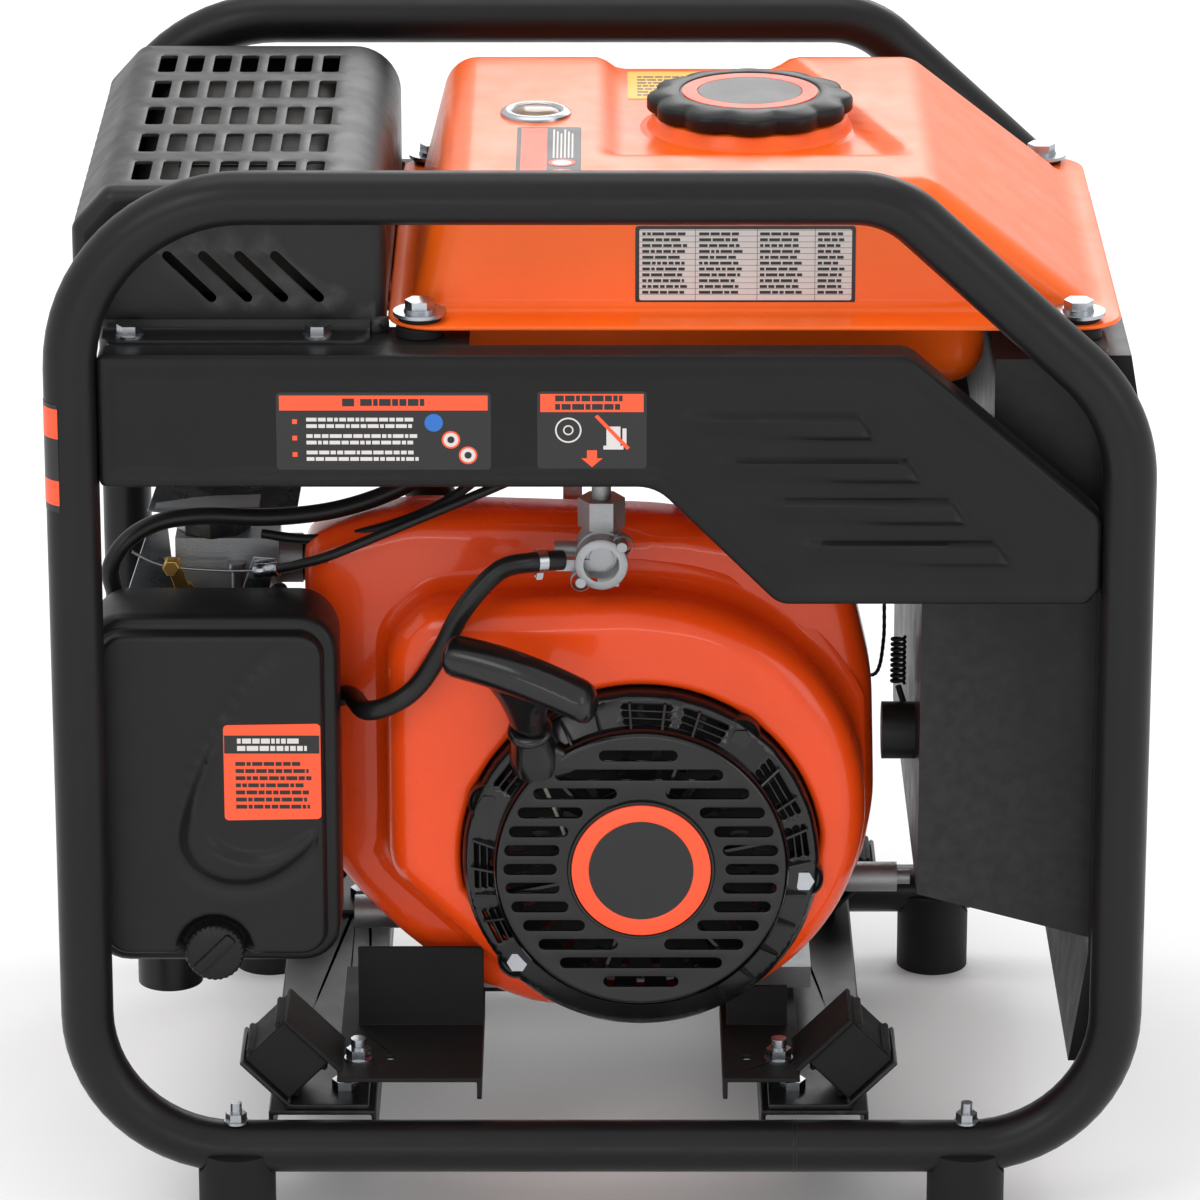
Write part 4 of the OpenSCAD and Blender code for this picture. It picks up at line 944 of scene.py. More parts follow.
def tank():
    """Two pressed shells on a seamed flange."""
    rings = [tank_ring(FLANGE, 137.0, off, z) for off, z in
             ((22.5, 480.6), (24.0, 481.0), (24.3, 481.8), (24.0, 482.6), (23.0, 483.0))]
    for out, rise in quarter_turn(5):
        off, z = TANK_ROUND + 7.0 * out, 483.0 + 7.0 * rise
        lean = 0.9 * (z - 485)
        rings.append([(x - lean * max(0.0, nx) * (sx > 0), y, z) for (x, y, _), (sx, _, nx, _)
                      in zip(tank_ring(WALL_FOOT, TANK_Y, off, z), TANK_TURN)])
    rings += tank_wall()[:-1]
    rings.append(tank_ring(WALL_TOP, TANK_Y, 0.02, TANK_TOP))
    rings = dense_ring(rings, 7.0)
    verts, faces = loft(rings, ends=False)
    top = [(p[0], p[1]) for p in rings[-1]]
    # lower shell and the underside of the flange out to its rolled edge
    low = [tank_ring(LOWER, 112.0, off, z)
           for off, z in ((40.0, 480.6), (20.0, 480.6), (18.0, 479.0), (18.0, 458.0))]
    for k in range(1, 7):
        t = radians(90 * k / 6)
        low.append(tank_ring(LOWER, 112.0, 18 * cos(t), 458.0 - 18 * sin(t)))
    base = [(p[0], p[1], 440.0) for p in low[-1]]
    solid(([dipped(p) for p in verts], faces),
          face_skin(top, (), 5.0, 2.2, lambda x, y: dipped((x, y, TANK_TOP))),
          loft(low, ends=False), (base, [list(range(len(base)))]),
          loft([rings[0], dense_like(rings[0], low[0])], ends=False)).piece(
        "tank_shell", "tank_orange", replaces=["fuel_tank"], weld=0.05, sharp=60)
    boss = [(30, 551.0), (46, 551.0), (49.5, 550.2), (51, 548.4), (51.4, 545.5), (53.5, 543.2),
            (58, 542.3)]
    turned(boss, (CAP_X, 0, 0), UP, 96).piece("tank_neck_boss", "tank_orange")


def dense_like(outer, inner):
    """Inner loop resampled to the nearest direction of each outer point."""
    cx = sum(p[0] for p in inner) / len(inner)
    cy = sum(p[1] for p in inner) / len(inner)
    out = []
    for p in outer:
        a = atan2((p[1] - cy) / 150, (p[0] - cx) / 165)
        best = min(inner, key=lambda q: abs(remainder(
            atan2((q[1] - cy) / 150, (q[0] - cx) / 165) - a, TAU)))
        out.append(best)
    return out


def filler_cap():
    """Scalloped cap with a chamfered crown and an inlaid ring."""
    z0 = TANK_TOP + 2.4
    centre = (CAP_X, 0, z0)

    def scallop(r, h, t):
        wave = 0.5 + 0.5 * cos(12 * t)
        return r - 4.2 * (1 - wave ** 0.55) * min(1.0, (r - 40) / 8) if r >= 40 else r

    crown = [(6.3, 8), (6.3, 0.3), (31.9, 4), (32, 0), (44, 0), (51, 0), (52.6, 0.5), (53.4, 1.6),
             (53.5, 6.4), (53.0, 7.8), (51.8, 8.8), (49.5, 9.6), (46.0, 10.5), (42.0, 11.0),
             (37.2, 11.0), (36.6, 10.7), (36.2, 10.1), (20.0, 10.1), (2.0, 10.1)]
    solid(lathe(crown, centre, UP, 144, scallop)).piece("cap_body", "moulded_black", "cap",
                                                        replaces=["fuel_cap"])
    turned([(27.2, 10.0), (27.4, 10.7), (35.2, 10.7), (35.4, 10.0)], centre, UP, 96).piece(
        "cap_ring", "label_orange", "cap")
    solid(lathe([(27.0, 10.0), (26.9, 10.6), (1.0, 10.6)], centre, UP, 96)).piece(
        "cap_disc", "label_black", "cap", slot="black_plastic")


def gauge():
    """Float gauge: plated ring, clear dome and a pointer."""
    c = (-34, 2, 0)
    turned([(12.4, 548.5), (12.6, 550.6), (13.6, 551.6), (15.2, 551.9), (17.0, 551.4), (18.2, 550.4),
            (18.5, 549.2), (18.5, 548.6)], c, UP, 72).piece(
        "gauge_ring", "zinc", slot="black_plastic", replaces=["fuel_gauge"])
    dome = [(12.6, 550.2), (11.0, 551.8), (8.0, 552.4), (4.0, 552.7), (0.6, 552.8)]
    solid(lathe(dome, c, UP, 48)).piece("gauge_dome", "clear_plastic", slot="black_plastic")
    window = solid(slab([(-39, -2.5), (-29, -2.5), (-29, 6.5), (-39, 6.5)], 549.4, 550.0, "z"))
    bevel(window.piece("gauge_window", "dial_white", slot="black_plastic"), 0.3)


tank()
filler_cap()
gauge()


# ------------------------------------------------ labels
FACES = {"front": (RIGHT, UP, FRONT), "top": (RIGHT, BACK, UP), "outlet": (BACK, UP, RIGHT)}


def plate(name, origin, w, h, mat, lift=0.25, r=2.0, face="front", rise=0.0):
    """Thin rounded sticker from a corner; rise lifts the far end of its lower edge."""
    u, v, n = (Vector(d) for d in FACES[face])
    u = u * w + v * rise
    ring = box_loop(0, u.length, 0, h, r)
    u.normalize()
    flat = [Vector(origin) + u * x + v * y for x, y in ring]
    skin = loft([[p + n * 0.02 for p in flat], [p + n * lift for p in flat]])
    return solid(skin).piece(name, mat)


def bars(name, origin, rows, mat, lift=0.33, face="front"):
    """Plain printed bars that stand in for lines of small print: (x0, x1, y0, y1) rows."""
    o, u, v, n = (Vector(q) for q in (origin, *FACES[face]))
    s = Shape()
    for x0, x1, y0, y1 in rows:
        quad = [o + u * x + v * y for x, y in ((x0, y0), (x1, y0), (x1, y1), (x0, y1))]
        s.add(*loft([[p + n * (lift - 0.08) for p in quad], [p + n * lift for p in quad]]))
    return s.piece(name, mat)


def disc(name, centre, r, mat, lift=0.36, inner=0.0, face="front"):
    """Round printed mark, or a ring when it has an inner radius."""
    profile = [(inner, 0.02), (inner, lift), (r, lift), (r, 0.02)] if inner else [(r, 0.02), (r, lift)]
    skin = lathe(profile, centre, FACES[face][2], 32, ends=not inner)
    return solid(skin).piece(name, mat)


def print_lines(x0, x1, top, count, pitch, height, seed):
    """Bars of uneven length, like a block of small print, with no letters."""
    rng = np.random.default_rng(seed)
    rows = []
    for i in range(count):
        y = top - i * pitch
        x, end = x0, x1 - rng.uniform(0, (x1 - x0) * 0.12)
        while x < end - 1.2:
            w = min(rng.uniform(1.6, 6.0), end - x)
            rows.append((x, x + w, y - height, y))
            x += w + 0.7
    return rows


def panel_labels():
    """The wide label and the fuel tap label on the front panel."""
    y = PANEL_FACE + 1.28
    wide, tap = (-162, y, 415.8), (-32, y, 416.4)
    plate("label_wide", wide, 107.0, 40.4, "label_black")
    bars("label_wide_head", wide, [(1.6, 105.4, 31.0, 38.8)], "label_orange")
    bars("label_wide_title", wide,
         print_lines(42, 76, 37.0, 1, 4, 3.6, 1) + [(33, 39, 33.2, 37.2)], "label_black", 0.40)
    bars("label_wide_dots", wide, [(8, 10.4, z, z + 2.4) for z in (24.0, 15.4, 6.8)], "label_orange")
    bars("label_wide_print", wide,
         [row for k, z in enumerate((27.2, 18.6, 10.0))
          for row in print_lines(15, 74, z, 2, 3.4, 1.9, 5 + k)], "label_white")
    for k, (x, z) in enumerate(((-83.5, 440.4), (-75.0, 431.5), (-66.5, 423.4))):
        disc(f"label_wide_mark_{k}", (x, y, z), 4.6, "label_white" if k else "label_blue")
        if k:
            disc(f"label_wide_mark_ring_{k}", (x, y, z), 4.6, "label_orange", 0.42, 3.7)
            disc(f"label_wide_mark_dot_{k}", (x, y, z), 1.8, "label_black", 0.42)
    plate("label_tap", tap, 54.6, 40.4, "label_black")
    bars("label_tap_head", tap, [(1.6, 53.0, 29.6, 39.0)], "label_orange")
    bars("label_tap_title", tap, print_lines(9, 46, 38.2, 2, 4.4, 3.0, 21), "label_black", 0.40)
    disc("label_tap_dial", (-16.5, y, 436.5), 6.6, "label_white", 0.36, 5.8)
    disc("label_tap_knob", (-16.5, y, 436.5), 2.6, "label_white", 0.36, 1.9)
    bars("label_tap_pump", tap,
         [(33, 43, 10, 12), (34.5, 41.5, 12, 22), (42.5, 44.5, 13, 21)], "label_white")
    slash = [(-3.4, 443.6), (-1.9, 444.6), (14.2, 427.4), (12.7, 426.2)]
    solid(slab(slash, y - 0.25, y - 0.44)).piece("label_tap_slash", "label_orange")
    arrow = [(-7.2, 426), (-2.2, 426), (-2.2, 421.8), (0.6, 421.8), (-4.7, 417.2), (-10, 421.8),
             (-7.2, 421.8)]
    solid(slab(arrow, y - 0.25, y - 0.42)).piece("label_tap_arrow", "label_orange")


def air_label():
    """Small label on the air cleaner cover."""
    at = (-193, -160, 218.6)
    plate("label_air", at, 49.6, 52.0, "label_orange", 0.3, 2.2, rise=0.8)
    bars("label_air_band", at, [(0.4, 49.0, 36.6, 46.4)], "label_black", 0.40)
    bars("label_air_title", at, print_lines(7, 44, 44.8, 2, 4.0, 2.7, 31), "label_white", 0.47)
    bars("label_air_print", at, print_lines(6, 45, 32.0, 7, 3.9, 2.1, 41), "label_black", 0.40)


def rating_label():
    """Rating plate on the tank wall: a ruled table with columns of print."""
    y = -TANK_Y - 18.0
    at = (19, y - 0.3, 489.2)
    plate("label_rating", (17, y, 487.5), 110.5, 40.3, "label_black", 0.3, 1.6)
    plate("label_rating_face", at, 106.6, 37.0, "label_white", 0.12, 1.0)
    grid = [(0, 106.6, 2.9 + 3.05 * i, 3.15 + 3.05 * i) for i in range(12)]
    grid += [(x, x + 0.3, 0, 37) for x in (28, 59, 88)]
    bars("label_rating_grid", at, grid, "print_grey", 0.20)
    rows = []
    for c, (a, b) in enumerate(((1.5, 24), (30, 52), (60.5, 82), (89.5, 103))):
        rows += print_lines(a, b, 35.4, 11, 3.05, 1.5, 60 + c)
    bars("label_rating_print", at, rows, "label_black", 0.24)


def tank_top_labels():
    """The long black label and the yellow one in the filler recess."""
    at = (-43.2, -125, TANK_TOP)
    plate("label_top", at, 32.9, 99.7, "label_black", 0.25, 1.5, "top")
    bars("label_top_panel", at, [(2.2, 15.5, 4, 97)], "label_orange", face="top")
    lines_of_print = [(18.5 + 1.9 * i, 19.4 + 1.9 * i, 40, 95 - 4 * (i % 3)) for i in range(6)]
    bars("label_top_print", at, lines_of_print, "label_white", face="top")
    for k, y in enumerate((-113.0, -94.0)):
        centre = (-20.0, y, TANK_TOP + 0.2)
        disc(f"label_top_mark_{k}", centre, 6.8, "label_orange", 0.22, 5.0, "top")
        disc(f"label_top_mark_fill_{k}", centre, 5.0, "label_white", 0.18, face="top")
    at = (14, 56, TANK_TOP - 6.5)
    plate("label_yellow", at, 72.0, 56.0, "label_yellow", 0.25, 1.5, "top")
    bars("label_yellow_print", at, print_lines(5, 66, 46, 7, 6.2, 2.6, 81), "label_black", face="top")


panel_labels()
air_label()
rating_label()
tank_top_labels()


# ------------------------------------------------ engine shroud and starter
CRANK = (20.5, 187.0)
VOLUTE_FACE = -130.0
VOLUTE_FOLD = 17.0
LIP_OUTER = 99.0
LIP_INNER = 93.4


def soft_outline(points, step, sigma):
    """Evenly spaced, smoothed closed outline with outward normals, clockwise seen from -Y."""
    pts = [Vector(p) for p in points]
    dense = []
    for a, b in zip(pts, pts[1:] + pts[:1]):
        k = max(1, int((b - a).length / 0.5))
        dense += [a.lerp(b, i / k) for i in range(k)]
    arr = np.array([tuple(p) for p in dense])
    gap = np.linalg.norm(np.roll(arr, -1, 0) - arr, axis=1)
    s = np.concatenate([[0], np.cumsum(gap)])
    total = s[-1]
    m = int(total / step)
    at = np.arange(m) * total / m
    closed = np.vstack([arr, arr[:1]])
    even = np.stack([np.interp(at, s, closed[:, k]) for k in (0, 1)], 1)
    if sigma > 0:
        reach = int(3 * sigma / step) + 1
        w = np.exp(-0.5 * (np.arange(-reach, reach + 1) * step / sigma) ** 2)
        w /= w.sum()
        even = sum(wk * np.roll(even, k - reach, 0) for k, wk in enumerate(w))
    heading = np.roll(even, -1, 0) - np.roll(even, 1, 0)
    heading /= np.linalg.norm(heading, axis=1)[:, None]
    return [(Vector(p), Vector((-t[1], t[0]))) for p, t in zip(even, heading)]


SHROUD_PTS = [(-154, 345), (-100, 360), (30, 356), (95, 345), (130, 318), (141, 270), (143, 200),
              (137, 165), (124, 143), (107, 120), (83, 98), (52, 84), (10, 80), (-37, 84), (-77, 101),
              (-105, 124), (-128, 148), (-146, 172), (-154, 192)]


def shroud_body():
    """Rear shell of the cooling shroud: rounded edge, gently crowned face, a pressed step."""
    outline = soft_outline(SHROUD_PTS, 4.0, 7.0)
    poly = np.array([tuple(p) for p, _ in outline])

    def crown(x, z):
        dome = 3.0 * smoothstep(abs(depth_inside(x, z, poly)) / 45.0)
        step = smoothstep((z - 0.10 * (x + 60) - 336) / 5.0) * smoothstep((x + 70) / 14)
        return dome - 3.0 - 2.2 * step * smoothstep((88 - x) / 12)

    shape = pressed(outline, -92.0, 36.0, 13.0, crown, [circle(88, 48)], 6.0, 7)
    solidify(shape.piece("shroud_rear_shell", "shroud_orange", replaces=["fan_shroud"], sharp=50), 1.6)


def shroud_volute():
    """Raised scroll round the starter, flared into the rear shell, with a lipped opening."""
    scroll = arc(22, 209, 115.5, 90, -132, 37)
    scroll += [(-111, 175), (-111, 300), (-90, 322), (22, 326)]
    outline = soft_outline(scroll, 4.0, 8.0)
    shell = np.array([tuple(p) for p, _ in soft_outline(SHROUD_PTS, 4.0, 7.0)])
    # the foot flares out only where the rear shell reaches past it
    flares = [max(0.0, min(11.0, depth_inside(p.x, p.y, shell) - 4.0)) for p, _ in outline]
    loops = []
    for out, rise in quarter_turn(5):
        loops.append([(p.x + m.x * flare * out, -90.5 - flare * rise, p.y + m.y * flare * out)
                      for (p, m), flare in zip(outline, flares)])
    for back, inset in quarter_turn(9):
        loops.append([(p.x, VOLUTE_FACE + VOLUTE_FOLD * back, p.y)
                      for p in offset(outline, VOLUTE_FOLD * inset)])
    face = [(x, z) for x, _, z in loops[-1]]
    hole = clip_inside(circle(LIP_OUTER, 96), face)
    # turned-in lip of the opening
    lip = [[(x, VOLUTE_FACE, z) for x, z in hole]]
    for out, back in quarter_turn(5)[1:]:
        k = (LIP_INNER + (LIP_OUTER - LIP_INNER) * out) / LIP_OUTER
        lip.append([(CRANK[0] + (x - CRANK[0]) * k, VOLUTE_FACE + 4.5 * back,
                     CRANK[1] + (z - CRANK[1]) * k) for x, z in hole])
    lip.append([(x, -113.0, z) for x, z in circle(LIP_INNER, 96)])
    obj = solid(loft(loops, ends=False),
                face_skin(face, [hole], 6.0, 2.5, lambda x, z: (x, VOLUTE_FACE, z)),
                loft(lip, ends=False)).piece("shroud_volute", "shroud_orange", weld=0.05,
                                                    sharp=55)
    solidify(obj, 1.2)


def clip_inside(hole, face):
    """Moves opening points inward where the face is narrower than the lip."""
    poly = np.array(face)
    out = []
    for x, z in hole:
        for _ in range(12):
            if depth_inside(x, z, poly) > 0.6:
                break
            x, z = x + (CRANK[0] - x) * 0.006, z + (CRANK[1] - z) * 0.006
        out.append((x, z))
    return out


# slots of the disc, as left end, right end and height above the crank
DISC_SLOTS = [(-21.8, 18.6, 62.5), (-44.5, 42, 52), (-42, 42, -52), (-19.5, 19.5, -62.5)]
for near, far, row_z in ((12.5, 55.5, 41.7), (30, 63.5, 31.2), (37.5, 68, 20.8), (42, 70.5, 10.4),
                         (43.5, 71, 0), (42, 70, -10.4), (37.5, 67, -20.8), (29, 61, -31.2),
                         (12, 53, -41.7)):
    DISC_SLOTS += [(-far, -near, row_z), (near, far, row_z)]
LUGS = [221, -7, 158, 53]  # degrees round the crank
RIM_SCALE = 1.4  # mm on the flat layout for one degree
RIM_PROFILE = [(75.0, -141.4), (77.0, -140.8), (89.6, -137.2), (91.6, -135.6), (92.5, -133.0),
               (92.5, -114.0)]
RIM_WINDOWS = [(79, 97), (58.5, 75.5), (18, 41), (2, 14), (172, 190), (136, 151), (-40, -20),
               (-70, -48), (-98, -76), (-124, -104), (198, 212)]


def circle(r, n, turn=TAU):
    """Points round the crank axis."""
    return [(CRANK[0] + r * cos(a), CRANK[1] + r * sin(a))
            for a in np.linspace(0, turn, n, endpoint=False)]


def fin(angle, points, half):
    """Flat fin of (radius, y) points that stands at an angle round the crank axis."""
    c, s = cos(radians(angle)), sin(radians(angle))
    return loft([[(CRANK[0] + r * c - w * s, y, CRANK[1] + r * s + w * c) for r, y in points]
                 for w in (-half, half)])


def starter_disc():
    """Dished face of the cover with its rows of slots."""
    cx, cz = CRANK
    ring = [(Vector(p), (Vector(p) - Vector(CRANK)).normalized()) for p in circle(75.5, 120, -TAU)]
    slots = [slot_outline(cx + (a + b) / 2, cz + 0.3 + row, (b - a) / 2 - 3.0, 3.0, 7)
             for a, b, row in DISC_SLOTS]

    def dish(x, z):
        r = hypot(x - cx, z - cz)
        return -0.8 * smoothstep((42.0 - r) / 3.0) + 0.5 * smoothstep((r - 71.2) / 1.5) * (r < 75.4)

    obj = pressed(ring, -149.6, 9.0, 3.2, dish, slots, 4.2, 5).piece(
        "starter_disc", "gloss_black", replaces=["recoil_housing"], sharp=40)
    bevel(solidify(obj, 2.4), 0.55, 2, 60, harden=False)


def starter_rim():
    """Sloped louvred rim, laid out flat as angle against slope length, then wrapped round."""
    run = run_lengths(RIM_PROFILE)

    def place(u, s):
        a = radians(u / RIM_SCALE)
        r, y = point_along(RIM_PROFILE, run, s)
        return CRANK[0] + r * cos(a), y, CRANK[1] + r * sin(a)

    windows = []
    for a0, a1 in RIM_WINDOWS:
        middle, half = (a0 + a1) / 2 * RIM_SCALE, (a1 - a0) / 2 * RIM_SCALE - 1.1
        windows += [slot_outline(middle, s, half, 1.15, 3)
                    for s in ((3.6, 7.6, 11.6) if a0 > 0 else (18.5, 25.0))]
    low, high = -139.0, 221.0
    border = [(a * RIM_SCALE, 0.0) for a in np.arange(low, high + 0.1, 3.0)]
    border += [(high * RIM_SCALE, s) for s in run[1:-1]]
    border += [(a * RIM_SCALE, run[-1]) for a in np.arange(high, low - 0.1, -3.0)]
    border += [(low * RIM_SCALE, s) for s in run[-2:0:-1]]
    extra = inside_points(border, windows, 3.4, 1.0)
    extra += [(a * RIM_SCALE, s) for a in np.arange(low + 1.5, high - 1, 3.0) for s in run[1:-1]
              if not any(abs(s - w[0][1]) < 1.6 for w in windows)]
    pts, tris = fill(border, windows, extra)
    rim = solid(([place(u, s) for u, s in pts], tris))
    solidify(rim.piece("starter_rim", "gloss_black", weld=0.05, sharp=40), 2.0)


def starter_screen():
    """Perforated disc behind the slots."""
    holes = [circle(26, 40)]
    for r, n in ((40, 14), (52, 20), (64, 26), (76, 30)):
        for k in range(n):
            a = TAU * (k + 0.5 * (r % 24 == 4)) / n
            at = CRANK[0] + r * cos(a), CRANK[1] + r * sin(a)
            holes.append(slot_outline(*at, 3.0, 2.0, 3, a))
    pts, tris = fill(circle(90.5, 96, -TAU), holes)
    screen = solid(([(x, -118.8, z) for x, z in pts], tris))
    solidify(screen.piece("starter_screen", "rubber", slot="gloss_black"), 0.9)


def starter_cover():
    """Slotted disc on a sloped, louvred rim, with ribs, bolt lugs and the hub behind."""
    starter_disc()
    starter_rim()
    centre = (CRANK[0], 0, CRANK[1])
    step = [(75.4, -149.0), (76.4, -147.5), (76.6, -141.0), (75.0, -139.6), (72.0, -139.6)]
    rib = [(76.0, -146.5), (88.0, -139.4), (88.0, -136.0), (76.0, -139.0)]
    angles = [*range(-60, 40, 12), *range(70, 120, 12), *range(172, 212, 10)]
    ribs = solid(lathe(step, centre, BACK, 120, ends=False), *[fin(a, rib, 0.7) for a in angles])
    bevel(ribs.piece("starter_rim_ribs", "gloss_black"), 0.3)
    lug = [(3.0, -133.9), (7.9, -133.9), (8.6, -134.3), (9.0, -135.0), (9.2, -136.0), (10.0, -136.6),
           (10.3, -135.8), (10.6, -128.0), (10.9, -116.0)]
    spots = [(CRANK[0] + 85 * cos(radians(a)), 0, CRANK[1] + 85 * sin(radians(a))) for a in LUGS]
    solid(*[lathe(lug, at, BACK, 40, ends=False) for at in spots]).piece("starter_lugs", "gloss_black")
    spoke = [(7, -146.6), (73, -146.6), (73, -141.5), (7, -141.5)]
    solid(lathe([(8, -148.6), (8, -118)], centre, BACK, 32),
          *[fin(a + 12, spoke, 0.8) for a in range(0, 360, 60)]).piece("starter_hub", "gloss_black")
    starter_screen()


PULL = Vector((-6, -22, 41)).normalized()
GUIDE = Vector((-36, -150, 262))
GRIP_DIR = Vector((93, -28, -25)).normalized()
GRIP = GUIDE + PULL * 44


def rope_guide():
    """Moulded throat that leads the rope out of the cover, with its web down to the rim."""
    throat = [(3.4, -22), (13.5, -22), (13.0, -12), (11.2, -6), (10.6, 1.0), (11.6, 1.8), (12.0, 3.0),
              (11.6, 4.4), (10.0, 5.6), (7.5, 6.0), (4.4, 5.2), (3.4, 3.2), (3.4, -22)]
    base, side = GUIDE - PULL * 14, Vector((0.85, 0, 0.53))
    web = [blob_ring(base.lerp(Vector((-22, -137, 236)), t), side, Vector(FRONT), w, d, 0.6, 20)
           for t, w, d in ((0.0, 12.0, 9.0), (0.3, 14.0, 10.0), (0.65, 17.0, 10.5), (1.0, 20.0, 10.0))]
    solid(lathe(throat, GUIDE, PULL, 48, ends=False), loft(web)).piece(
        "starter_rope_guide", "gloss_black", sharp=50)


def pull_grip():
    """T handle: blended grip and stem, smoothed from joined solids, with grip ribs."""
    side = GRIP_DIR.cross(PULL).normalized()
    bar = []
    for t in np.linspace(-1, 1, 29):
        u = abs(t)
        ends = 0.35 + 0.65 * sqrt(max(0.0, 1 - max(0.0, (u - 0.86) / 0.145) ** 2))
        high, low, wide = (k * ends for k in (11.6 - 2.6 * u * u, 10.2 + 1.4 * u * u, 11.0 - 0.8 * u * u))
        middle = GRIP + GRIP_DIR * (41 * t) + PULL * (1.5 - 3.4 * u * u)
        bar.append(blob_ring(middle, side, PULL, wide, high, 0.85, 28, low))
    stem = [blob_ring(GUIDE + PULL * t, GRIP_DIR, side, a, b, 0.7)
            for t, a, b in ((6.6, 8.4, 7.4), (9, 9.2, 8.0), (18, 10.6, 8.6), (28, 13.4, 9.4),
                            (36, 18.0, 10.0), (42, 23.0, 10.0))]
    obj = solid(loft(bar), loft(stem)).piece("handle_grip", "gloss_black", "handle",
                                             replaces=["pull_handle"], weld=0.001)
    remesh = obj.modifiers.new("blend", "REMESH")
    remesh.mode, remesh.voxel_size = "VOXEL", 0.0011
    remesh.use_smooth_shade = True
    soft = obj.modifiers.new("soften", "SMOOTH")
    soft.factor, soft.iterations = 0.5, 7
    ribs = Shape()
    for k in range(7):
        c = GRIP + GRIP_DIR * (15.5 + 2.6 * k) - side * 10.0
        foot = blob_ring(c, PULL, GRIP_DIR, 3.2, 0.65, 1, 12)
        ribs.add(*loft([foot, [p - side * 1.15 for p in foot]]))
    bevel(ribs.piece("handle_ribs", "gloss_black", "handle"), 0.25)


def badge():
    """Two-tone round plate in the middle of the starter cover."""
    c = (CRANK[0], 0, CRANK[1])
    turned([(36.2, -149.4), (36.6, -150.4), (37.6, -150.5), (38.2, -149.6), (38.4, -148.4)],
           c, BACK, 96).piece("badge_rim", "gloss_black")
    turned([(36.0, -149.4), (35.8, -150.6), (35.2, -150.9), (27.4, -150.9), (27.0, -150.6)],
           c, BACK, 96).piece("badge_ring", "label_orange", replaces=["recoil_badge"])
    solid(lathe([(27.0, -149.4), (27.0, -150.5), (1.0, -150.5)], c, BACK, 96)).piece(
        "badge_disc", "label_black")


shroud_body()
shroud_volute()
starter_cover()
rope_guide()
pull_grip()
badge()


def blackened_bolts():
    """Two of the starter bolts are blackened steel; the others are plated."""
    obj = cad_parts["flange_bolts"]
    obj.data.materials.append(MATS["gloss_black"])
    for face in obj.data.polygons:
        x, y, z = (v / MM for v in face.center)
        angle = degrees(atan2(z - CRANK[1], x - CRANK[0]))
        if y < -110 and hypot(x - CRANK[0], z - CRANK[1]) < 100 and 30 < angle < 170:
            face.material_index = 1


blackened_bolts()


# ------------------------------------------------ air cleaner cover
KNOB = (-199.5, 146.0)
KNOB_R = 15.5
SWOOSH_OUT = [(-166, 311), (-178, 298), (-191, 277), (-205, 252), (-214, 229), (-218, 212),
              (-217, 201), (-211, 191), (-201, 184), (-190, 181), (-176, 182), (-163, 188),
              (-151, 198), (-142, 210)]
SWOOSH_IN = [(-167, 309), (-174, 295), (-183, 279), (-193, 260), (-199, 242), (-202, 228),
             (-200, 217), (-196, 209), (-188, 204), (-176, 202), (-164, 205), (-154, 211),
             (-144, 218)]


def air_cover():
    """Moulded cover: sunk border, crescent in relief, arch for the fixing knob."""
    outline = rounded([(-264, 326.5), (-134.5, 326.5), (-134.5, 136.5), (-264, 136.5)], 20.0, 7, 6.0)
    curves = [smooth_curve([(x, 0, z) for x, z in pts], 3) for pts in (SWOOSH_OUT, SWOOSH_IN[::-1])]
    outer_line, inner_line = (np.array([(p.x, p.z) for p in curve]) for curve in curves)
    swoosh = np.vstack([outer_line, inner_line])

    def arch(x, z):
        r = hypot(x - KNOB[0], z - KNOB[1]) if z > KNOB[1] else abs(x - KNOB[0])
        return 5.2 * smoothstep((20.5 - r) / 3.0)

    def relief(x, z):
        """Crescent and the groove along its outer edge, both flat under the label."""
        if not (-230 < x < -136 and 168 < z < 318):
            return 0.0
        bare = smoothstep(max(abs(x + 168.2) - 26.5, abs(z - 244.6) - 27.5) / 3.0)
        gap = np.min(np.hypot(outer_line[:, 0] - x, outer_line[:, 1] - z))
        raised = smoothstep(max(0.0, depth_inside(x, z, swoosh)) / 8.0)
        return bare * (3.6 * raised - 1.3 * exp(-(gap / 5.0) ** 2))

    # rim, rounded corner, sunk border and the step up to the face, as one skin
    steps = [(0.0, -114.0), (0.0, -146.0), (0.5, -148.4), (1.8, -150.6), (3.6, -151.7),
             (5.6, -152.0), (6.6, -152.3), (7.2, -153.4), (7.7, -157.4), (8.4, -159.2),
             (9.6, -160.0), (11.0, -160.0)]
    loops = [[(p.x, y + (arch(p.x, p.y) if y < -153 else 0.0), p.y) for p in offset(outline, d)]
             for d, y in steps]
    face = [(p[0], p[2]) for p in loops[-1]]
    solid(loft(loops, ends=False),
          face_skin(face, (), 2.1, 1.0,
                    lambda x, z: (x, -160.0 - relief(x, z) + arch(x, z), z))).piece(
        "air_cover", "moulded_black", replaces=["air_box_cover"], sharp=60, weld=0.03)


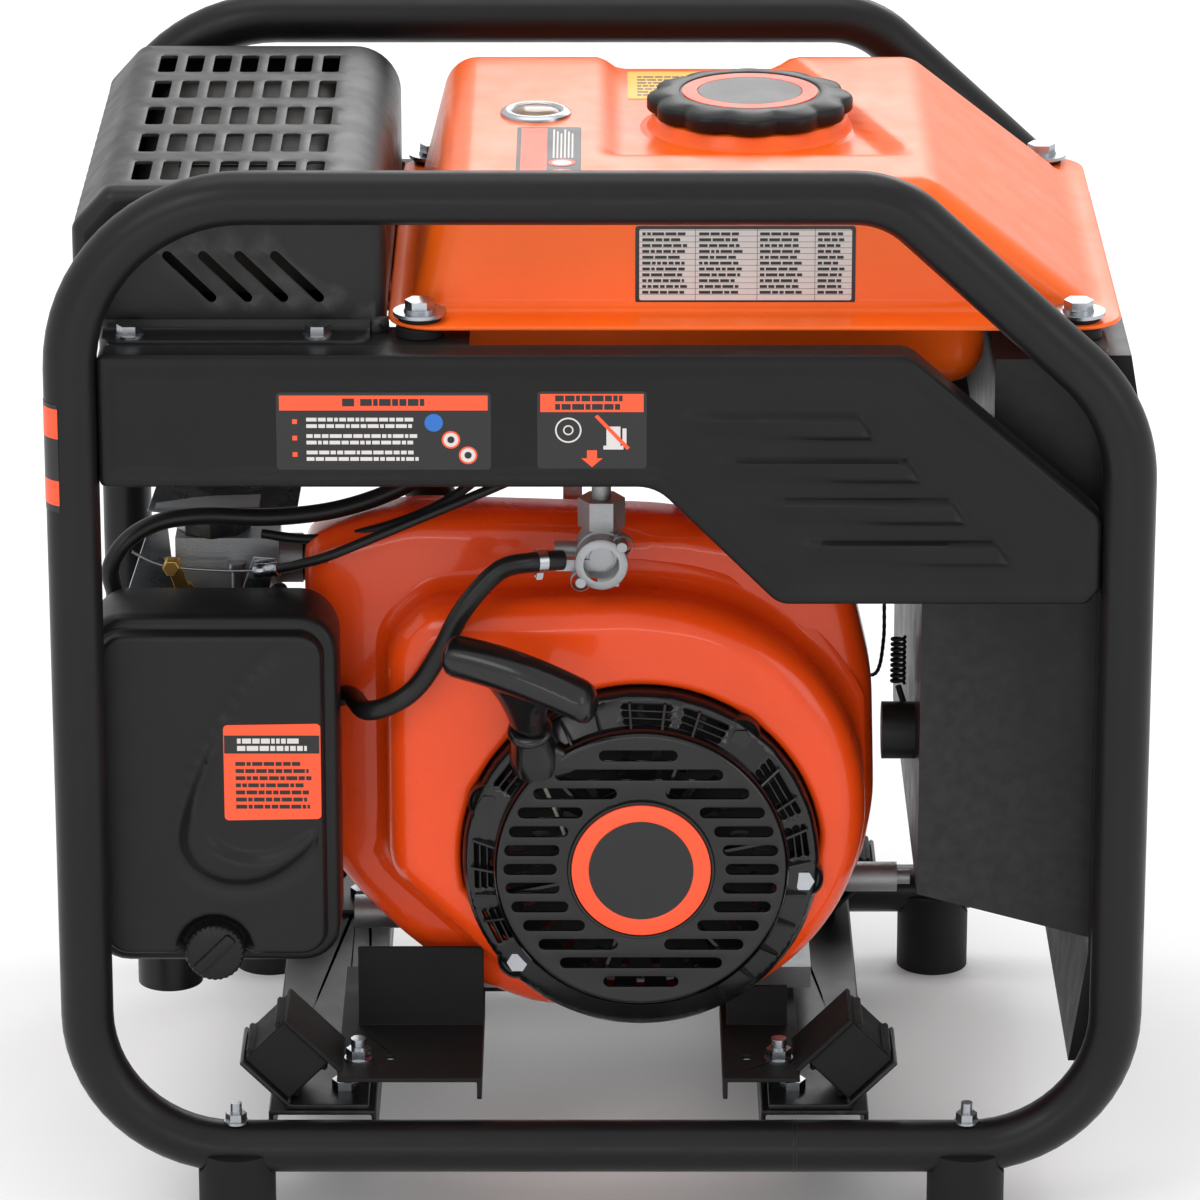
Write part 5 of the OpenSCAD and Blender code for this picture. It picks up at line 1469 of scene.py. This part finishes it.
def air_knob():
    """Round wing knob with a raised diagonal bar."""
    c = (KNOB[0], 0, KNOB[1])

    def knurl(r, h, t):
        """Fine grooves round the front half of the rim."""
        return r - 0.25 - 0.25 * cos(30 * t) if r > 14.5 and h < -155.5 else r

    body = [(4, -146), (4, -154.4), (15.0, -154.4), (KNOB_R, -155.4), (KNOB_R, -161.0), (15.0, -162.6),
            (13.6, -163.5), (8.0, -163.9), (1.0, -164.0)]
    solid(lathe(body, c, BACK, 120, knurl)).piece("knob_body", "moulded_black", "air_knob",
                                                  replaces=["air_box_knob"])
    t = radians(45)
    u, v = Vector((cos(t), 0, sin(t))), Vector((-sin(t), 0, cos(t)))
    loops = []
    for y, w, length in ((-163.2, 3.4, 13.2), (-165.4, 3.0, 12.8), (-166.0, 2.2, 12.0)):
        ring = box_loop(-length, length, -w, w, min(w, 2.0) * 0.95)
        loops.append([Vector(c) + u * x + v * z + Vector((0, y, 0)) for x, z in ring])
    solid(loft(loops)).piece("knob_bar", "moulded_black", "air_knob")


# ------------------------------------------------ hoses, cable, rope
HOSE = [(-20, -132, 350), (-34, -138, 351), (-52, -134, 345), (-70, -138, 326), (-82, -138, 303),
        (-94, -138, 284), (-107, -138, 274), (-121, -131, 268), (-130, -101.5, 265),
        (-140, -98.2, 264), (-157, -98, 272), (-163, -96, 290), (-163, -86, 306),
        (-168.5, -73, 313.2)]
CABLE = [(-170.5, -90.5, 330.6), (-164, -93.5, 332.6), (-157, -96, 335), (-140, -99, 341),
         (-110, -99, 354), (-80, -99, 367), (-50, -98, 380), (-10, -90, 396), (40, -76, 408),
         (100, -66, 412), (160, -61, 404), (190, -60, 402), (210, -60, 406), (235, -60, 414)]
CONDUIT = [(197.4, -68, 392), (184, -68, 391), (165, -67, 374), (151, -66, 345), (148, -62, 312),
           (148, -56, 280), (145, -36, 254), (135, 4, 242), (122, 50, 238), (106, 88, 230),
           (92.6, 90, 223.6)]
LEAD_LOOP = [(155, -77, 262), (160, -84, 250), (168, -86, 246), (175, -80, 252), (174, -72, 266),
             (168, -66, 282)]
BREATHER = [(-252, -86, 316), (-254, -88, 330), (-246, -86, 344), (-230, -80, 352.5),
            (-206, -76, 355), (-170, -72, 353), (-134, -66, 356), (-100, -62, 368), (-72, -60, 388),
            (-60, -60, 402)]
VENT = [(-176, -72, 344), (-150, -78, 343), (-118, -84, 350), (-88, -86, 362), (-64, -84, 378),
        (-52, -84, 396)]
TAP_Z = 350


def tube(name, points, r, mat, k=8, seg=20, radius_at=None, replaces=()):
    """Smooth hose, cable or wire through given points."""
    skin = sweep(smooth_curve(points, k), r, seg, radius_at=radius_at)
    return solid(skin).piece(name, mat, replaces=replaces, sharp=60)


def clip_ring(name, at, axis, r):
    """Spring clip: a flat band with two bent ears."""
    at, axis = Vector(at), Vector(axis).normalized()
    half = 2.5  # half the width of the band
    band = [(r, -half), (r + 0.9, -half), (r + 0.9, half), (r, half), (r, -half)]
    s = turned(band, at, axis, 32)
    side = axis.cross(Vector((0, 1, 0.2))).normalized()
    out = side.cross(axis).normalized()
    for k in (-1, 1):
        loops = []
        for d, w in ((0.4, 1.8), (4.2, 1.8), (4.8, 1.2)):
            c = at + side * (r + d) + out * 1.4 * k
            loops.append([c + axis * a + out * b
                          for a, b in ((-w, -0.45), (w, -0.45), (w, 0.45), (-w, 0.45))])
        s.add(*loft(loops))
    s.piece(name, "zinc")


def choke_wire():
    """Bare steel wire from the ferrule to the swivel on the choke lever."""
    wire = sweep(smooth_curve([(-243, -80.5, 337), (-233, -81, 331.6), (-222.8, -81.5, 329),
                               (-206, -83.5, 328), (-190, -86.5, 328.4), (-172, -89.6, 330)], 8), 0.8, 8)
    link_soft("choke_wire", wire, "steel_bare")


def carburettor_trim():
    """Choke housing cap, heat shield plate and bracket round the carburettor."""
    cap = [(19.6, 337.6), (19.6, 348.6), (18.2, 350.4), (13.0, 353.0), (12.6, 353.6), (4.0, 353.8)]
    bevel(solid(lathe(cap, (-203, -44, 0), UP, 8)).piece("carb_cap", "gloss_black",
                                                         slot="black_plastic"), 0.8)
    edge = [(-236, -62, 352.6), (-180, -66, 348.4), (-159, -62, 348.0), (-157, -24, 356.0),
            (-176, -20, 357.0), (-232, -20, 358.0)]
    shield = loft([edge, [(x, y, z + 1.0) for x, y, z in edge]])
    bevel(solid(shield).piece("carb_shield", "zinc"), 0.3)
    bracket = slab([(-250, 300), (-236, 342), (-226, 342), (-222, 300)], -56, -54.6)
    bevel(solid(bracket).piece("carb_bracket", "zinc"), 0.4)
    post = Shape()
    for x, y, z0, z1, r in ((-190, -66, 300, 326, 3.0), (-178, -64, 300, 322, 3.4)):
        post.add(*lathe([(r * 1.4, z0), (r * 1.4, z0 + 4), (r, z0 + 4.4), (r, z1 - 4),
                         (r * 1.5, z1 - 3.6), (r * 1.5, z1)], (x, y, 0), UP, 16))
    post.piece("carb_posts", "steel_bare", slot="zinc")


def tap_trim():
    """Face flange of the fuel tap with its two screws."""
    flange = [(9.2, -140.6), (12.2, -140.6), (13.4, -139.8), (13.6, -138.0), (13.4, -130)]
    washer = [(4.8, -138.6), (5.4, -138.0), (5.4, -132)]
    head = [(1.0, -140.8), (2.6, -140.8), (3.1, -140.2), (3.1, -137)]
    s = turned(flange, (0, 0, TAP_Z), BACK, 40)
    for dx, dz in ((-10.5, -9.5), (10.5, 9.5)):
        s.add(*lathe(washer, (dx, 0, TAP_Z + dz), BACK, 20, ends=False))
        s.add(*lathe(head, (dx, 0, TAP_Z + dz), BACK, 20))
    s.piece("tap_flange", "alloy_cast", slot="zinc", sharp=40)


def choke_linkage():
    """Ferrule, cable clamp and the swivel that turns with the choke lever."""
    ferrule = [(2.7, -7), (3.6, -6.6), (3.8, -2.5), (3.5, -2.0), (3.5, 1.8), (3.8, 2.4), (3.6, 6.6),
               (2.7, 7)]
    turned(ferrule, (-173, -89.5, 330), (0.93, -0.3, 0.18), 20).piece("choke_ferrule", "zinc")
    clamp = [(-189, 305), (-175, 305), (-172, 318), (-169, 335), (-180, 336), (-186, 318)]
    bevel(solid(slab(clamp, -85.4, -84.4)).piece("choke_clamp", "zinc"), 0.4)
    screw = [(1.0, -84.6), (4.2, -84.6), (4.6, -84.0), (4.6, -76.5), (2.6, -76.0), (2.6, -74.0)]
    arm = [(-220, 310), (-212.5, 310), (-219, 332), (-227, 332)]
    swivel = solid(lathe(screw, (-222.8, 0, 329), BACK, 6), slab(arm, -76.4, -74.8))
    bevel(swivel.piece("choke_swivel", "brass", "choke_arm"), 0.4)


def lines():
    """Hoses, cable, conduit and leads, each on its own route."""
    tube("fuel_line", HOSE, 5.2, "hose_rubber", replaces=["fuel_hose"])
    clip_ring("fuel_clip_tap", (-31, -136.5, 351), (-1, -0.4, 0.05), 5.3)
    clip_ring("fuel_clip_carb", (-164.4, -82.5, 308.5), (-0.3, 0.75, 0.5), 5.3)
    tube("choke_sheath", CABLE, 2.6, "hose_rubber", seg=12, replaces=["choke_cable"])
    choke_linkage()

    def ripple(t):
        return 1 + 0.09 * sin(TAU * t * 62)

    tube("loom_conduit", CONDUIT, 6.4, "rubber", k=26, seg=18, radius_at=ripple,
         replaces=["wiring_conduit"])
    # short earth lead coiled beside the alternator
    turns = 9
    coil = [(155 + 3.4 * cos(a), -74 + 3.4 * sin(a), 262 + 26 * a / (TAU * turns))
            for a in np.linspace(0, TAU * turns, 150)]
    tube("lead_spring", coil, 0.9, "rubber", k=1, seg=8)
    tube("lead_loop", LEAD_LOOP, 1.6, "rubber", seg=10)
    tube("breather_hose", BREATHER, 4.6, "hose_rubber", seg=16)
    tube("vent_hose", VENT, 2.6, "hose_rubber", seg=12)


ROPE_R = 2.0


def starter_cord():
    """Braided rope from the reel through the guide into the grip."""
    reel = [Vector(p) for p in ((-11, -133, 177), (-17, -133, 195), (-24.5, -133, 215))]
    route = reel + [GUIDE + PULL * d for d in (-33, -20, 0, 16)]

    def braid(t):
        return 1.0 + 0.05 * sin(TAU * t * 70)

    rope = sweep(smooth_curve(route, 24), ROPE_R, 16, radius_at=braid)
    obj = link_soft("starter_line", rope, "rope")
    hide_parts("starter_rope")


air_cover()
air_knob()
lines()
choke_wire()
carburettor_trim()
tap_trim()
starter_cord()


# ------------------------------------------------ outlet panel print
PANEL_X = 262


def outlet_print():
    """Meter dial, borders and plain print bars on the outlet panel."""
    x = PANEL_X + 4.0
    plate("meter_dial", (x, -90.5, 354), 41.0, 36.0, "dial_white", 0.35, 2.5, "outlet")
    scale = Shape()
    for k in range(21):
        a = radians(150 - 6 * k)
        c, s = cos(a), sin(a)
        inner, outer, w = 19.0, 23.0 if k % 5 == 0 else 21.0, 0.35
        mark = [(-70 + r * c - e * s, 361 + r * s + e * c)
                for r, e in ((inner, w), (outer, w), (outer, -w), (inner, -w))]
        scale.add(*slab(mark, x + 0.3, x + 0.42, "x"))
    scale.add(*slab([(-71.0, 360.5), (-69.6, 360.0), (-80.5, 380.5)], x + 0.4, x + 0.7, "x"))
    scale.piece("meter_scale", "label_black", slot="meter_face")
    at = (PANEL_X, -118, 0)
    bars("panel_header", at, [(0, 236, 423, 434)], "label_orange", 0.2, "outlet")
    bars("panel_header_print", at, print_lines(70, 166, 431, 1, 4, 5.0, 91), "label_black", 0.27,
         "outlet")
    rows = []
    for a, b in ((88, 218), (10, 88)):
        rows += [(a, b, 210, 210.9), (a, b, 299.1, 300), (a, a + 0.9, 210, 300), (b - 0.9, b, 210, 300)]
    for y, z in ((-60, 344), (-60, 400), (20, 354), (82, 348), (96, 156)):
        rows += [(y + 107 + a, y + 107 + b, z0, z1)
                 for a, b, z0, z1 in print_lines(0, 22, z, 1, 4, 2.6, int(y + z))]
    bars("panel_marks", at, rows, "label_white", 0.2, "outlet")


def upright_label():
    """Label wrapped round the left upright."""
    for name, mat, z0, z1, lift in (("upright_label", "label_black", 395.5, 451.7, 0.25),
                                    ("upright_label_head", "label_orange", 434.0, 449.5, 0.34),
                                    ("upright_label_mark", "label_orange", 399.0, 412.0, 0.34)):
        section = [(TUBE_R, z0), (TUBE_R + lift, z0), (TUBE_R + lift, z1), (TUBE_R, z1)]
        loops = []
        for a in range(25, 151, 7):
            t = radians(a)
            loops.append([(-HOOP_HALF_W - r * sin(t), -HOOP_Y - r * cos(t), z) for r, z in section])
        solid(loft(loops)).piece(name, mat)


outlet_print()
upright_label()
